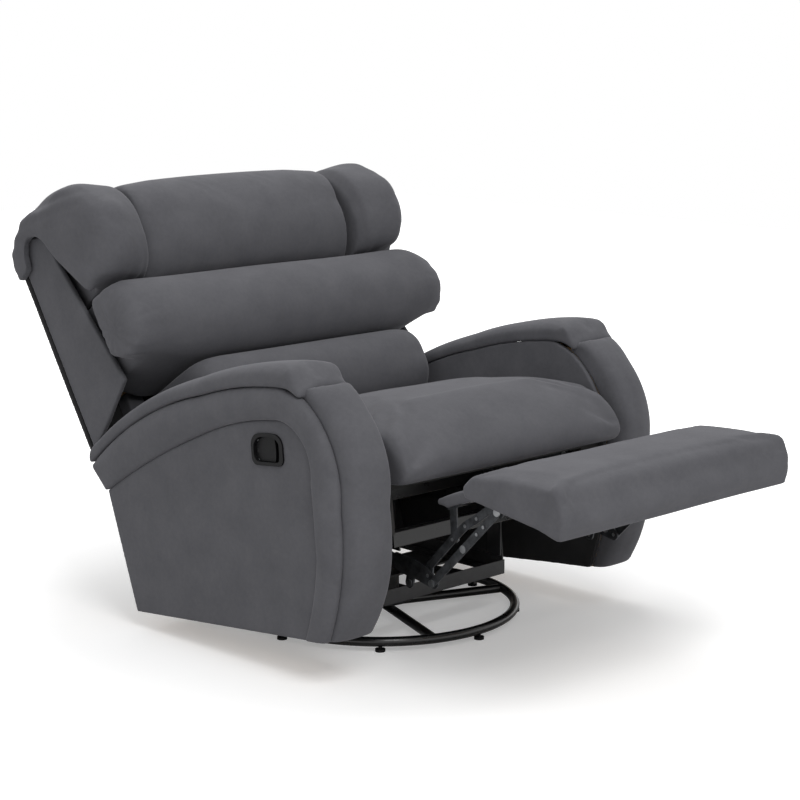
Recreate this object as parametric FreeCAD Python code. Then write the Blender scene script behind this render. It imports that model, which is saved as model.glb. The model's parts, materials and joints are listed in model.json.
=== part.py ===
import FreeCAD, Part
import math
import os

# Swivel glider recliner with its footrest open, in millimetres.
# The origin is the swivel axis on the floor, +Z is up and the chair faces -Y.
# The chair body leans back by BODY_TILT, so everything above the glider is
# drawn level in the body's own frame, tilted about the X axis and let down.
V = FreeCAD.Vector

# Body and clearances
BODY_TILT = 5.8
BODY_DROP = 6.0
SOFT_GAP = 0.3
RUNNING_GAP = 0.05
PLATE = 4.0
PLATE_GAP = 1.5

# Floor base
RING_RADIUS = 300.0
RING_BAR_RADIUS = 10.5
RING_HEIGHT = 21.0
CROSS_BAR_RADIUS = 10.0
CROSS_ANGLE = -21.7
GLIDE_COUNT = 8
GLIDE_RADIUS = 11.0
GLIDE_FOOT = 6.0
GLIDE_STEM_RADIUS = 4.0
HUB_RADIUS = 70.0
HUB_THICKNESS = 4.0

# Swivel bearing
RACE_THICKNESS = 5.0
RACE_SPACE = 3.0
BALL_RADIUS = 4.0
BALL_CIRCLE = 54.0
BALL_COUNT = 20
BALL_GAP = 0.06
SWIVEL_PIN_RADIUS = 8.0
SWIVEL_NUT_RADIUS = 13.0
SWIVEL_NUT_HEIGHT = 8.0
COLUMN_RADIUS = 40.0
COLUMN_WALL = 4.0

# Glider frame that turns on the bearing
FRAME_HALF_WIDTH = 186.0
FRAME_HALF_DEPTH = 200.0
FRAME_BOTTOM = 92.0
SIDE_RAIL_BOTTOM = 99.0
SIDE_RAIL_HEIGHT = 32.0
SIDE_RAIL_FLANGE = 30.0
END_RAIL_HEIGHT = 32.0
END_RAIL_FLANGE = 28.0
CENTRE_PLATE_DEPTH = 120.0
POST_WIDTH = 40.0
POST_TOP = 252.0

# Glide links
GLIDE_LINK_Y = 170.0
GLIDE_UPPER_Z = 236.0
GLIDE_LINK_LENGTH = 110.0
GLIDE_LINK_WIDTH = 26.0
GLIDE_PIN_RADIUS = 6.0
PIN_HEAD_RADIUS = 10.0
THIN_HEAD = 1.0

# Carriage on the glide links, in the body's frame
FRONT_TUBE = (-274.5, 229.0)
FRONT_TUBE_SIZE = (25.0, 33.0)
FRONT_TUBE_HALF = 215.0
MID_TUBE = (-60.0, 277.0)
REAR_TUBE = (225.0, 262.0)
CROSS_TUBE_SIZE = (25.0, 25.0)
TUBE_WALL = 2.0
TUBE_CORNER = 2.0
CARRIAGE_DEPTH = 32.0
CARRIAGE_LOBE_RADIUS = 16.0

# Footrest linkage, in the body's frame with the footrest open
CARRIER_PIVOT = (-333.8, 338.4)
NOSE_PIVOT = (-462.4, 169.1)
OUTER_LINK_TOP = (-656.4, 327.3)
INNER_LINK_FOOT = (-446.5, 182.4)
INNER_LINK_TOP = (-637.8, 336.3)
CARRIER_WAIST = (-400.0, 188.0)
CARRIER_ELBOW = (-330.0, 212.0)
CARRIER_LOBE = (-392.0, 163.0)
CARRIER_CROWN = ((-470.0, 179.0), (-442.0, 201.0), (-406.0, 213.5), (-358.0, 223.0))
INNER_LINK_BOW = ((-449.0, 203.0), (-526.0, 268.0), (-556.0, 291.0), (-589.0, 308.0))
LINKAGE_PIN_RADIUS = 4.0
LINKAGE_HEAD_RADIUS = 8.0
LINKAGE_HEAD = 2.5
LINK_HALF_WIDTH = 8.5
LINK_EYE_RADIUS = 11.0
OPEN_PIVOT_GAP = 2.5
LINKAGE_X = 275.0
RIVET_RADIUS = 3.5
STOP_BOLT_PLACE = 123.0
OUTER_RIVET_PLACES = (175.0, 200.0)

# Footrest, about its own centre
FOOTREST_CENTRE = (-756.4, 361.4)
FOOTREST_TILT = 5.8
FOOTREST_HALF_WIDTH = 351.0
FOOTREST_HALF_DEPTH = 130.0
FOOTREST_KINK = (-70.0, -40.0)
FOOTREST_FRONT_SLOPE = 0.295
FOOTREST_REAR_SLOPE = 0.159
FOOTREST_BOARD_THICKNESS = 12.0
FLANGE_THICKNESS = 3.0
FLANGE_WIDTH = 26.0

# Filler flap between the seat and the footrest
FLAP_FOOT = (-518.0, 261.2)
FLAP_CENTRE = (-522.0, 344.0)
FLAP_TILT = -16.0
FLAP_DEPTH = 100.0
FLAP_TOP = 7.0
FLAP_UNDERSIDE = -17.0
FLAP_TAB_PLACE = 6.0

# Seat
ARM_INNER = 346.0
SEAT_BASE = 372.0
SEAT_HALF_WIDTH = 335.0
SEAT_FRONT = -468.0
SEAT_REAR = 66.0
SEAT_TOP = 507.0
SEAT_RAIL_THICKNESS = 17.7
SEAT_RAIL_DEPTH = 50.0
SEAT_RAIL_FRONT = -372.0
SEAT_RAIL_REAR = 20.0
SIDE_BOARD_BOTTOM = 262.0
SIDE_BOARD_REAR = 250.0
SIDE_BOARD_THICKNESS = 20.0
PACKING_LENGTH = 60.0
SPRING_WIRE_RADIUS = 1.9
SPRING_COUNT = 5
SPRING_SPACING = 108.0
SPRING_HALF_WIDTH = 22.0
SPRING_PITCH = 24.0

# Arms
ARM_OUTER = 470.0
ARM_BOARD = 12.0
ARM_PANEL_THICKNESS = 12.0
BORDER_PROUD = 8.0
ARM_BORDER_OUTER = ARM_OUTER + BORDER_PROUD
ARM_BOTTOM = 70.5
ARM_FRONT_PADDING = 20.0
CAP_INNER = ARM_INNER - 3.0
CAP_OUTER = ARM_OUTER + 6.0
CAP_EDGE_DROP = 16.0

# Release handle in the right arm
CUP_CENTRE = (-210.0, 455.0)
CUP_LENGTH = 96.0
CUP_HEIGHT = 66.0
CUP_WALL = 3.0
CUP_DEPTH = 21.0
CUP_RIM = 4.0
PADDLE_GAP = 1.0
PADDLE_FRONT = -230.0
FINGER_SLOT_WIDTH = 9.0
SHELF_THICKNESS = 3.0
PADDLE_THICKNESS = 5.0
PADDLE_PIN_RADIUS = 2.0

# Backrest, in its own plane: u runs up the back and n towards the sitter
BACK_ORIGIN = (441.3, 434.8)
BACK_ANGLE = 27.0
BACK_PIVOT = (330.0, 325.0)
BACK_PIN_RADIUS = 6.0
BACK_HALF_WIDTH = 428.0
BACK_LOWER_HALF = 336.0
BACK_BOTTOM = -115.0
BACK_TOP = 480.0
BACK_FRAME_REAR = 14.0
BACK_FRAME_THICKNESS = 36.0
BACK_RAIL_THICKNESS = 18.0
BACK_PANEL_THICKNESS = 12.0
STILE_WIDTH = 40.0
ROLL_SEAM = 50.0
HEAD_SEAM = 268.0
SEAM_GAP = 2.0
WING_SEAM = 314.0
COVER_THICKNESS = 5.0


# Outlines and solids

def outline(x, start, *steps):
    """Closed wire in the plane X=x: a step is a point, or a pair for an arc."""
    edges = []
    here = start
    for step in steps + (start,):
        if isinstance(step[0], tuple):
            middle, end = step
            arc = Part.Arc(V(x, *here), V(x, *middle), V(x, *end))
            edges.append(arc.toShape())
        else:
            end = step
            if math.dist(here, end) > 1e-6:
                edges.append(Part.makeLine(V(x, *here), V(x, *end)))
        here = end
    return Part.Wire(edges)


def slab(x0, x1, start, *steps):
    """Flat piece with the outline in Y and Z, from x0 to x1."""
    face = Part.Face(outline(x0, start, *steps))
    return face.extrude(V(x1 - x0, 0, 0))


def box(x0, x1, y0, y1, z0, z1):
    return Part.makeBox(x1 - x0, y1 - y0, z1 - z0, V(x0, y0, z0))


def rod(x0, x1, centre, radius):
    """Round bar along X about the point (y, z)."""
    return Part.makeCylinder(radius, x1 - x0, V(x0, *centre), V(1, 0, 0))


def bar(x0, x1, a, b, half_width):
    """Flat bar with round ends between two points (y, z)."""
    length = math.dist(a, b)
    across = ((a[1] - b[1]) / length * half_width, (b[0] - a[0]) / length * half_width)
    along = ((b[0] - a[0]) / length * half_width, (b[1] - a[1]) / length * half_width)
    a_left = (a[0] + across[0], a[1] + across[1])
    a_right = (a[0] - across[0], a[1] - across[1])
    b_left = (b[0] + across[0], b[1] + across[1])
    b_right = (b[0] - across[0], b[1] - across[1])
    a_end = (a[0] - along[0], a[1] - along[1])
    b_end = (b[0] + along[0], b[1] + along[1])
    return slab(x0, x1, a_left, b_left, (b_end, b_right), a_right, (a_end, a_left))


def between(a, b, distance):
    """Point at a distance from a on the line to b."""
    length = math.dist(a, b)
    return tuple(p + (q - p) * distance / length for p, q in zip(a, b))


def fuse(shapes):
    solid = shapes[0]
    for shape in shapes[1:]:
        solid = solid.fuse(shape)
    return solid.removeSplitter()


def mirrored(shape):
    return shape.mirror(V(0, 0, 0), V(1, 0, 0))


def both_sides(shape):
    return Part.makeCompound([shape, mirrored(shape)])


def turn(point, centre, degrees):
    """The point (y, z) turned about a centre, from Y towards Z."""
    c = math.cos(math.radians(degrees))
    s = math.sin(math.radians(degrees))
    y = point[0] - centre[0]
    z = point[1] - centre[1]
    return (centre[0] + y * c - z * s, centre[1] + y * s + z * c)


def to_body(point):
    """A level point (y, z) in the tilted body's frame."""
    return turn((point[0], point[1] + BODY_DROP), (0, 0), BODY_TILT)


def tilt(shape):
    leaning = shape.copy()
    leaning.rotate(V(0, 0, 0), V(1, 0, 0), -BODY_TILT)
    leaning.translate(V(0, 0, -BODY_DROP))
    return leaning


def moved(steps, change):
    """Every point of an outline's steps put through a function."""
    result = []
    for step in steps:
        if isinstance(step[0], tuple):
            result.append(tuple(change(point) for point in step))
        else:
            result.append(change(step))
    return result


def drawn_in(steps, centre, share):
    """Outline drawn in towards a centre."""
    def change(point):
        return tuple(c + (p - c) * share for p, c in zip(point, centre))
    return moved(steps, change)


def loft(sections):
    """Solid through outlines at rising X."""
    wires = [outline(x, *steps) for x, steps in sections]
    return Part.makeLoft(wires, True, True)


def symmetric(sections):
    """Outlines for X from 0 outwards, repeated on the other side."""
    other = [(-x, steps) for x, steps in reversed(sections) if x > 0]
    return other + sections


# Floor base

def make_ring():
    return Part.makeTorus(RING_RADIUS, RING_BAR_RADIUS, V(0, 0, RING_HEIGHT))


def make_cross_bars(ring):
    bars = []
    for quarter in (0, 90):
        angle = math.radians(CROSS_ANGLE + quarter)
        along = V(math.cos(angle), math.sin(angle), 0)
        start = V(0, 0, RING_HEIGHT) - along * RING_RADIUS
        bars.append(Part.makeCylinder(CROSS_BAR_RADIUS, 2 * RING_RADIUS, start, along))
    return fuse(bars).cut(ring)


def make_floor_glides(ring):
    glides = []
    for index in range(GLIDE_COUNT):
        angle = CROSS_ANGLE + (index + 0.5) * 360.0 / GLIDE_COUNT
        place = V(RING_RADIUS, 0, 0)
        foot = Part.makeCylinder(GLIDE_RADIUS, GLIDE_FOOT, place)
        stem = Part.makeCylinder(GLIDE_STEM_RADIUS, RING_HEIGHT, place)
        glide = fuse([foot, stem]).cut(ring)
        glide = glide.cut(box(0, 2 * RING_RADIUS, -20, 20, RING_HEIGHT - 8, 60))
        glide.rotate(V(0, 0, 0), V(0, 0, 1), angle)
        glides.append(glide)
    return Part.makeCompound(glides)


HUB_BOTTOM = RING_HEIGHT + CROSS_BAR_RADIUS
LOWER_RACE_BOTTOM = HUB_BOTTOM + HUB_THICKNESS
UPPER_RACE_BOTTOM = LOWER_RACE_BOTTOM + RACE_THICKNESS + RACE_SPACE
BALL_HEIGHT = LOWER_RACE_BOTTOM + RACE_THICKNESS + RACE_SPACE / 2
COLUMN_BOTTOM = UPPER_RACE_BOTTOM + RACE_THICKNESS
CENTRE_PLATE_BOTTOM = SIDE_RAIL_BOTTOM - PLATE


def disc(bottom, thickness, radius, bore):
    plate = Part.makeCylinder(radius, thickness, V(0, 0, bottom))
    return plate.cut(Part.makeCylinder(bore, thickness, V(0, 0, bottom)))


def ball_groove():
    return Part.makeTorus(BALL_CIRCLE, BALL_RADIUS + BALL_GAP, V(0, 0, BALL_HEIGHT))


def make_hub_plate():
    return disc(HUB_BOTTOM, HUB_THICKNESS, HUB_RADIUS, SWIVEL_PIN_RADIUS)


def make_lower_race():
    race = disc(LOWER_RACE_BOTTOM, RACE_THICKNESS, HUB_RADIUS, SWIVEL_PIN_RADIUS)
    return race.cut(ball_groove())


def make_upper_race():
    bore = SWIVEL_PIN_RADIUS + RUNNING_GAP
    return disc(UPPER_RACE_BOTTOM, RACE_THICKNESS, HUB_RADIUS, bore).cut(ball_groove())


def make_balls():
    balls = []
    for index in range(BALL_COUNT):
        angle = 2 * math.pi * index / BALL_COUNT
        place = V(BALL_CIRCLE * math.cos(angle), BALL_CIRCLE * math.sin(angle), BALL_HEIGHT)
        balls.append(Part.makeSphere(BALL_RADIUS, place))
    return Part.makeCompound(balls)


def make_swivel_pin():
    nut_bottom = COLUMN_BOTTOM + SOFT_GAP
    nut_top = nut_bottom + SWIVEL_NUT_HEIGHT
    pin = Part.makeCylinder(SWIVEL_PIN_RADIUS, nut_top - HUB_BOTTOM, V(0, 0, HUB_BOTTOM))
    nut = Part.makeCylinder(SWIVEL_NUT_RADIUS, SWIVEL_NUT_HEIGHT, V(0, 0, nut_bottom))
    return pin.fuse(nut)


# Glider frame

def make_column():
    height = CENTRE_PLATE_BOTTOM - COLUMN_BOTTOM
    return disc(COLUMN_BOTTOM, height, COLUMN_RADIUS, COLUMN_RADIUS - COLUMN_WALL)


def make_side_rails():
    top = SIDE_RAIL_BOTTOM + SIDE_RAIL_HEIGHT
    web_inner = FRAME_HALF_WIDTH - PLATE
    web = box(web_inner, FRAME_HALF_WIDTH, -FRAME_HALF_DEPTH, FRAME_HALF_DEPTH, SIDE_RAIL_BOTTOM, top)
    flange_inner = FRAME_HALF_WIDTH - SIDE_RAIL_FLANGE
    flange = box(
        flange_inner, web_inner, -FRAME_HALF_DEPTH, FRAME_HALF_DEPTH,
        SIDE_RAIL_BOTTOM, SIDE_RAIL_BOTTOM + PLATE,
    )
    return both_sides(fuse([web, flange]))


def make_end_rails():
    """Steel angles across the frame's front and rear."""
    half = FRAME_HALF_WIDTH
    web = box(
        -half, half, FRAME_HALF_DEPTH, FRAME_HALF_DEPTH + PLATE,
        FRAME_BOTTOM, FRAME_BOTTOM + END_RAIL_HEIGHT,
    )
    flange = box(
        -half, half, FRAME_HALF_DEPTH - END_RAIL_FLANGE, FRAME_HALF_DEPTH,
        CENTRE_PLATE_BOTTOM, SIDE_RAIL_BOTTOM,
    )
    rail = fuse([web, flange])
    return Part.makeCompound([rail, rail.mirror(V(0, 0, 0), V(0, 1, 0))])


def make_centre_plate():
    half = CENTRE_PLATE_DEPTH / 2
    return box(
        -FRAME_HALF_WIDTH, FRAME_HALF_WIDTH, -half, half,
        CENTRE_PLATE_BOTTOM, SIDE_RAIL_BOTTOM,
    )


POST_INNER = FRAME_HALF_WIDTH
POST_OUTER = POST_INNER + PLATE
GLIDE_INNER = POST_OUTER + PLATE_GAP
GLIDE_OUTER = GLIDE_INNER + PLATE
CARRIAGE_INNER = GLIDE_OUTER + PLATE_GAP
CARRIAGE_OUTER = CARRIAGE_INNER + PLATE
GLIDE_LOWER_Z = GLIDE_UPPER_Z - GLIDE_LINK_LENGTH


def make_glider_posts():
    posts = []
    for y in (-GLIDE_LINK_Y, GLIDE_LINK_Y):
        post = box(
            POST_INNER, POST_OUTER, y - POST_WIDTH / 2, y + POST_WIDTH / 2,
            SIDE_RAIL_BOTTOM, POST_TOP,
        )
        post = post.cut(rod(POST_INNER, POST_OUTER, (y, GLIDE_UPPER_Z), GLIDE_PIN_RADIUS))
        posts.append(post)
    return both_sides(Part.makeCompound(posts))


def make_upper_glide_pins():
    pins = []
    for y in (-GLIDE_LINK_Y, GLIDE_LINK_Y):
        centre = (y, GLIDE_UPPER_Z)
        pin = rod(POST_INNER, GLIDE_OUTER, centre, GLIDE_PIN_RADIUS)
        head = rod(GLIDE_OUTER + RUNNING_GAP, GLIDE_OUTER + THIN_HEAD, centre, PIN_HEAD_RADIUS)
        neck = rod(GLIDE_OUTER, GLIDE_OUTER + THIN_HEAD, centre, GLIDE_PIN_RADIUS)
        pins.append(fuse([pin, neck, head]))
    return both_sides(Part.makeCompound(pins))


def make_glide_links(y):
    upper = (y, GLIDE_UPPER_Z)
    lower = (y, GLIDE_LOWER_Z)
    link = bar(GLIDE_INNER, GLIDE_OUTER, upper, lower, GLIDE_LINK_WIDTH / 2)
    for centre in (upper, lower):
        link = link.cut(rod(GLIDE_INNER, GLIDE_OUTER, centre, GLIDE_PIN_RADIUS + RUNNING_GAP))
    return both_sides(link)


# Carriage

def tube_box(centre, size, x0, x1):
    return box(
        x0, x1, centre[0] - size[0] / 2, centre[0] + size[0] / 2,
        centre[1] - size[1] / 2, centre[1] + size[1] / 2,
    )


def square_tube(centre, size, half_length):
    outer = tube_box(centre, size, -half_length, half_length)
    long_edges = [edge for edge in outer.Edges if edge.Length > half_length]
    outer = outer.makeFillet(TUBE_CORNER, long_edges)
    bore = tuple(length - 2 * TUBE_WALL for length in size)
    return outer.cut(tube_box(centre, bore, -half_length, half_length))


def lower_glide_points():
    return [to_body((y, GLIDE_LOWER_Z)) for y in (-GLIDE_LINK_Y, GLIDE_LINK_Y)]


def make_carriage_plates():
    front_y, front_z = FRONT_TUBE[0], FRONT_TUBE[1] - FRONT_TUBE_SIZE[1] / 2
    mid_y, mid_z = MID_TUBE[0], MID_TUBE[1] - CROSS_TUBE_SIZE[1] / 2
    rear_y, rear_z = REAR_TUBE[0], REAR_TUBE[1] - CROSS_TUBE_SIZE[1] / 2
    half = CROSS_TUBE_SIZE[0] / 2
    beam = slab(
        CARRIAGE_INNER, CARRIAGE_OUTER,
        (front_y - half, front_z), (front_y + half, front_z),
        (mid_y - half, mid_z), (mid_y + half, mid_z),
        (rear_y - half, rear_z), (rear_y + half, rear_z),
        (rear_y + half, rear_z - CARRIAGE_DEPTH), (mid_y, mid_z - CARRIAGE_DEPTH),
        (front_y - half, front_z - TUBE_WALL * 4),
    )
    front_pivot, rear_pivot = lower_glide_points()
    lobes = []
    for pivot in (front_pivot, rear_pivot):
        root = (pivot[0], mid_z - CARRIAGE_DEPTH)
        lobes.append(bar(CARRIAGE_INNER, CARRIAGE_OUTER, pivot, root, CARRIAGE_LOBE_RADIUS))
    plate = fuse([beam] + lobes)
    for pivot in (front_pivot, rear_pivot):
        plate = plate.cut(rod(CARRIAGE_INNER, CARRIAGE_OUTER, pivot, GLIDE_PIN_RADIUS))
    return both_sides(plate)


def make_lower_glide_pins():
    pins = []
    for centre in lower_glide_points():
        pin = rod(GLIDE_INNER - THIN_HEAD, CARRIAGE_OUTER, centre, GLIDE_PIN_RADIUS)
        head = rod(GLIDE_INNER - THIN_HEAD, GLIDE_INNER - RUNNING_GAP, centre, PIN_HEAD_RADIUS)
        pins.append(fuse([pin, head]))
    return both_sides(Part.makeCompound(pins))


def make_cross_tubes():
    return Part.makeCompound([
        square_tube(FRONT_TUBE, FRONT_TUBE_SIZE, FRONT_TUBE_HALF),
        square_tube(MID_TUBE, CROSS_TUBE_SIZE, MOUNT_PLATE_INNER),
        square_tube(REAR_TUBE, CROSS_TUBE_SIZE, MOUNT_PLATE_INNER),
    ])


# Footrest linkage: flat steel layers outwards from the filler flap's strip

CARRIER_INNER = LINKAGE_X
CARRIER_OUTER = CARRIER_INNER + PLATE
OUTER_LINK_INNER = CARRIER_OUTER + PLATE_GAP
OUTER_LINK_OUTER = OUTER_LINK_INNER + PLATE
MOUNT_PLATE_INNER = OUTER_LINK_OUTER + PLATE_GAP
MOUNT_PLATE_OUTER = MOUNT_PLATE_INNER + PLATE
INNER_LINK_OUTER = CARRIER_INNER - PLATE_GAP
INNER_LINK_INNER = INNER_LINK_OUTER - PLATE
STRIP_OUTER = INNER_LINK_INNER - PLATE_GAP
STRIP_INNER = STRIP_OUTER - PLATE


def make_mount_plates():
    """Plate screwed to the side board: it carries the footrest linkage."""
    front_y, front_z = CARRIER_PIVOT
    nose = bar(MOUNT_PLATE_INNER, MOUNT_PLATE_OUTER, CARRIER_PIVOT, (-80.0, front_z - 4), 13.0)
    web = slab(
        MOUNT_PLATE_INNER, MOUNT_PLATE_OUTER,
        (-100.0, 250.0), (240.0, 248.0), (240.0, 330.0), (-80.0, 345.0), (-100.0, 345.0),
    )
    plate = fuse([nose, web])
    return both_sides(plate.cut(rod(MOUNT_PLATE_INNER, MOUNT_PLATE_OUTER, (front_y, front_z), LINKAGE_PIN_RADIUS)))


def make_carriers():
    x0, x1 = CARRIER_INNER, CARRIER_OUTER
    crown = slab(x0, x1, NOSE_PIVOT, *CARRIER_CROWN, CARRIER_ELBOW, CARRIER_WAIST)
    plate = fuse([
        crown,
        bar(x0, x1, NOSE_PIVOT, CARRIER_WAIST, 12.0),
        bar(x0, x1, CARRIER_WAIST, CARRIER_ELBOW, 15.0),
        bar(x0, x1, CARRIER_ELBOW, CARRIER_PIVOT, 13.0),
        bar(x0, x1, CARRIER_LOBE, CARRIER_WAIST, 11.0),
        bar(x0, x1, NOSE_PIVOT, INNER_LINK_FOOT, 10.0),
    ])
    plate = plate.cut(rod(x0, x1, CARRIER_PIVOT, LINKAGE_PIN_RADIUS + RUNNING_GAP))
    for centre in (NOSE_PIVOT, INNER_LINK_FOOT, CARRIER_LOBE):
        plate = plate.cut(rod(x0, x1, centre, LINKAGE_PIN_RADIUS))
    return both_sides(plate)


def headed_pin(x_root, x_end, centre, head, thin):
    """Rivet from its root out to a loose head, thin where a layer runs close by."""
    way = 1 if x_end > x_root else -1
    gap = RUNNING_GAP * way
    thickness = (THIN_HEAD if thin else LINKAGE_HEAD) * way
    shank = sorted((x_root, x_end + thickness))
    cap = sorted((x_end + gap, x_end + thickness))
    return fuse([rod(*shank, centre, LINKAGE_PIN_RADIUS), rod(*cap, centre, head)])


def make_carrier_pivots():
    """Pins fixed in the mount plates, which the carriers turn on."""
    pin = headed_pin(MOUNT_PLATE_OUTER, CARRIER_INNER, CARRIER_PIVOT, LINKAGE_HEAD_RADIUS, True)
    spacer = rod(CARRIER_OUTER + RUNNING_GAP, MOUNT_PLATE_INNER, CARRIER_PIVOT, LINKAGE_PIN_RADIUS * 1.5)
    return both_sides(fuse([pin, spacer]))


def make_carrier_pins():
    """Pins fixed in the carriers for both long links, and the lobe's bolt."""
    nose = headed_pin(CARRIER_INNER, OUTER_LINK_OUTER, NOSE_PIVOT, LINKAGE_HEAD_RADIUS, False)
    foot = headed_pin(CARRIER_OUTER, INNER_LINK_INNER, INNER_LINK_FOOT, LINKAGE_HEAD_RADIUS, False)
    lobe = fuse([
        rod(CARRIER_INNER, CARRIER_OUTER, CARRIER_LOBE, LINKAGE_PIN_RADIUS),
        rod(CARRIER_OUTER, CARRIER_OUTER + THIN_HEAD, CARRIER_LOBE, LINKAGE_HEAD_RADIUS),
    ])
    return both_sides(Part.makeCompound([nose, foot, lobe]))


def make_outer_links():
    x0, x1 = OUTER_LINK_INNER, OUTER_LINK_OUTER
    link = bar(x0, x1, NOSE_PIVOT, OUTER_LINK_TOP, LINK_HALF_WIDTH)
    for centre in (NOSE_PIVOT, OUTER_LINK_TOP):
        link = link.cut(rod(x0, x1, centre, LINKAGE_PIN_RADIUS + RUNNING_GAP))
    return both_sides(link)


def make_inner_links():
    """Bowed plates from the carriers to the footrest's brackets."""
    x0, x1 = INNER_LINK_INNER, INNER_LINK_OUTER
    path = (INNER_LINK_FOOT,) + INNER_LINK_BOW + (INNER_LINK_TOP,)
    bars = [bar(x0, x1, a, b, LINK_HALF_WIDTH) for a, b in zip(path, path[1:])]
    link = fuse(bars + [rod(x0, x1, INNER_LINK_TOP, LINK_EYE_RADIUS)])
    link = link.cut(rod(x0, x1, INNER_LINK_FOOT, LINKAGE_PIN_RADIUS + RUNNING_GAP))
    link = link.cut(rod(x0, x1, INNER_LINK_TOP, LINKAGE_PIN_RADIUS + OPEN_PIVOT_GAP))
    return both_sides(link)


def make_outer_link_rivets():
    """Stop bolt and two rivets set in each outer link."""
    solids = []
    for place in (STOP_BOLT_PLACE,) + OUTER_RIVET_PLACES:
        radius = LINKAGE_HEAD_RADIUS if place == STOP_BOLT_PLACE else RIVET_RADIUS
        centre = between(NOSE_PIVOT, OUTER_LINK_TOP, place)
        solids.append(rod(OUTER_LINK_OUTER, OUTER_LINK_OUTER + THIN_HEAD * 2, centre, radius))
    return both_sides(Part.makeCompound(solids))


def make_inner_link_pins():
    """Pivots for the filler flap's strips, and two rivets, in the inner links."""
    solids = [headed_pin(INNER_LINK_INNER, STRIP_INNER, FLAP_FOOT, LINKAGE_HEAD_RADIUS, False)]
    for centre in (FLAP_FOOT,) + INNER_LINK_BOW[2:]:
        solids.append(rod(INNER_LINK_OUTER, INNER_LINK_OUTER + THIN_HEAD, centre, RIVET_RADIUS))
    return both_sides(Part.makeCompound(solids))


# Footrest, drawn level about its centre and then turned into place

def place_footrest(shape):
    placed = shape.copy()
    placed.rotate(V(0, 0, 0), V(1, 0, 0), FOOTREST_TILT)
    placed.translate(V(0, *FOOTREST_CENTRE))
    return placed


def footrest_local(point):
    """A point of the body's frame, seen from the level footrest."""
    moved_point = (point[0] - FOOTREST_CENTRE[0], point[1] - FOOTREST_CENTRE[1])
    return turn(moved_point, (0, 0), -FOOTREST_TILT)


def underside(y, lift=0.0):
    """Height of the footrest's underside at y, steeper in front of the board."""
    way = y - FOOTREST_KINK[0]
    slope = FOOTREST_REAR_SLOPE if way > 0 else FOOTREST_FRONT_SLOPE
    return FOOTREST_KINK[1] + way * slope + lift


BOARD_FRONT = -70.0
BOARD_REAR = 112.0
BOARD_HALF_WIDTH = 325.0


def make_footrest_board():
    board = slab(
        -BOARD_HALF_WIDTH, BOARD_HALF_WIDTH,
        (BOARD_FRONT, underside(BOARD_FRONT)), (BOARD_REAR, underside(BOARD_REAR)),
        (BOARD_REAR, underside(BOARD_REAR, FOOTREST_BOARD_THICKNESS)),
        (BOARD_FRONT, underside(BOARD_FRONT, FOOTREST_BOARD_THICKNESS)),
    )
    return tilt(place_footrest(board))


def make_footrest_cushion():
    def profile(crown):
        front = -FOOTREST_HALF_DEPTH
        rear = FOOTREST_HALF_DEPTH
        return [
            (rear - 6, underside(rear - 6)),
            ((rear, 6), (rear - 8, 22)),
            ((rear - 22, 36 + crown / 2), (rear - 44, 42 + crown)),
            ((0, 49 + crown), (front + 40, 50 + crown)),
            ((front + 12, 46 + crown / 2), (front + 4, 30)),
            ((front - 3, -4), (front + 4, underside(front + 4) + 10)),
            ((front + 8, underside(front + 8) + 2), (front + 16, underside(front + 16))),
            (BOARD_FRONT, underside(BOARD_FRONT)),
        ]
    centre = (0.0, underside(0))
    ends = FOOTREST_HALF_WIDTH
    cushion = loft(symmetric([
        (0.0, profile(4.0)),
        (ends - 110, profile(2.0)),
        (ends - 9, profile(-1.0)),
        (ends - 3, drawn_in(profile(-3.0), centre, 0.985)),
        (ends, drawn_in(profile(-4.0), centre, 0.96)),
    ]))
    pocket = slab(
        -BOARD_HALF_WIDTH, BOARD_HALF_WIDTH,
        (BOARD_FRONT, underside(BOARD_FRONT, -10)), (BOARD_REAR, underside(BOARD_REAR, -10)),
        (BOARD_REAR, underside(BOARD_REAR, FOOTREST_BOARD_THICKNESS)),
        (BOARD_FRONT, underside(BOARD_FRONT, FOOTREST_BOARD_THICKNESS)),
    )
    return tilt(place_footrest(cushion.cut(pocket)))


def make_footrest_brackets():
    low = footrest_local(OUTER_LINK_TOP)
    high = footrest_local(INNER_LINK_TOP)
    front, rear = 20.0, BOARD_REAR
    x0, x1 = CARRIER_INNER, CARRIER_OUTER
    web = slab(
        x0, x1, (front, underside(front)), (rear, underside(rear)),
        (rear, underside(rear, -16)), (low[0], low[1]), (front + 20, underside(front + 20, -12)),
    )
    flange = slab(
        x1, x1 + FLANGE_WIDTH, (front, underside(front)), (rear, underside(rear)),
        (rear, underside(rear, -FLANGE_THICKNESS)), (front, underside(front, -FLANGE_THICKNESS)),
    )
    keep = slab(
        x0, x1, (front - 40, underside(front - 40)), (rear + 60, underside(rear + 60)),
        (rear + 60, -120.0), (front - 40, -120.0),
    )
    ears = [rod(x0, x1, low, 12.0), rod(x0, x1, high, 10.0).common(keep)]
    bracket = fuse([web, flange] + ears)
    for centre in (low, high):
        bracket = bracket.cut(rod(x0, x1, centre, LINKAGE_PIN_RADIUS))
    return tilt(both_sides(place_footrest(bracket)))


def make_footrest_pins():
    """Pins fixed in the footrest's brackets for the tops of the long links."""
    outer = headed_pin(CARRIER_INNER, OUTER_LINK_OUTER, OUTER_LINK_TOP, LINKAGE_HEAD_RADIUS, False)
    inner = headed_pin(CARRIER_OUTER, INNER_LINK_INNER, INNER_LINK_TOP, LINKAGE_HEAD_RADIUS, False)
    return both_sides(Part.makeCompound([outer, inner]))


# Filler flap

def place_flap(shape):
    placed = shape.copy()
    placed.rotate(V(0, 0, 0), V(1, 0, 0), FLAP_TILT)
    placed.translate(V(0, *FLAP_CENTRE))
    return placed


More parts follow.
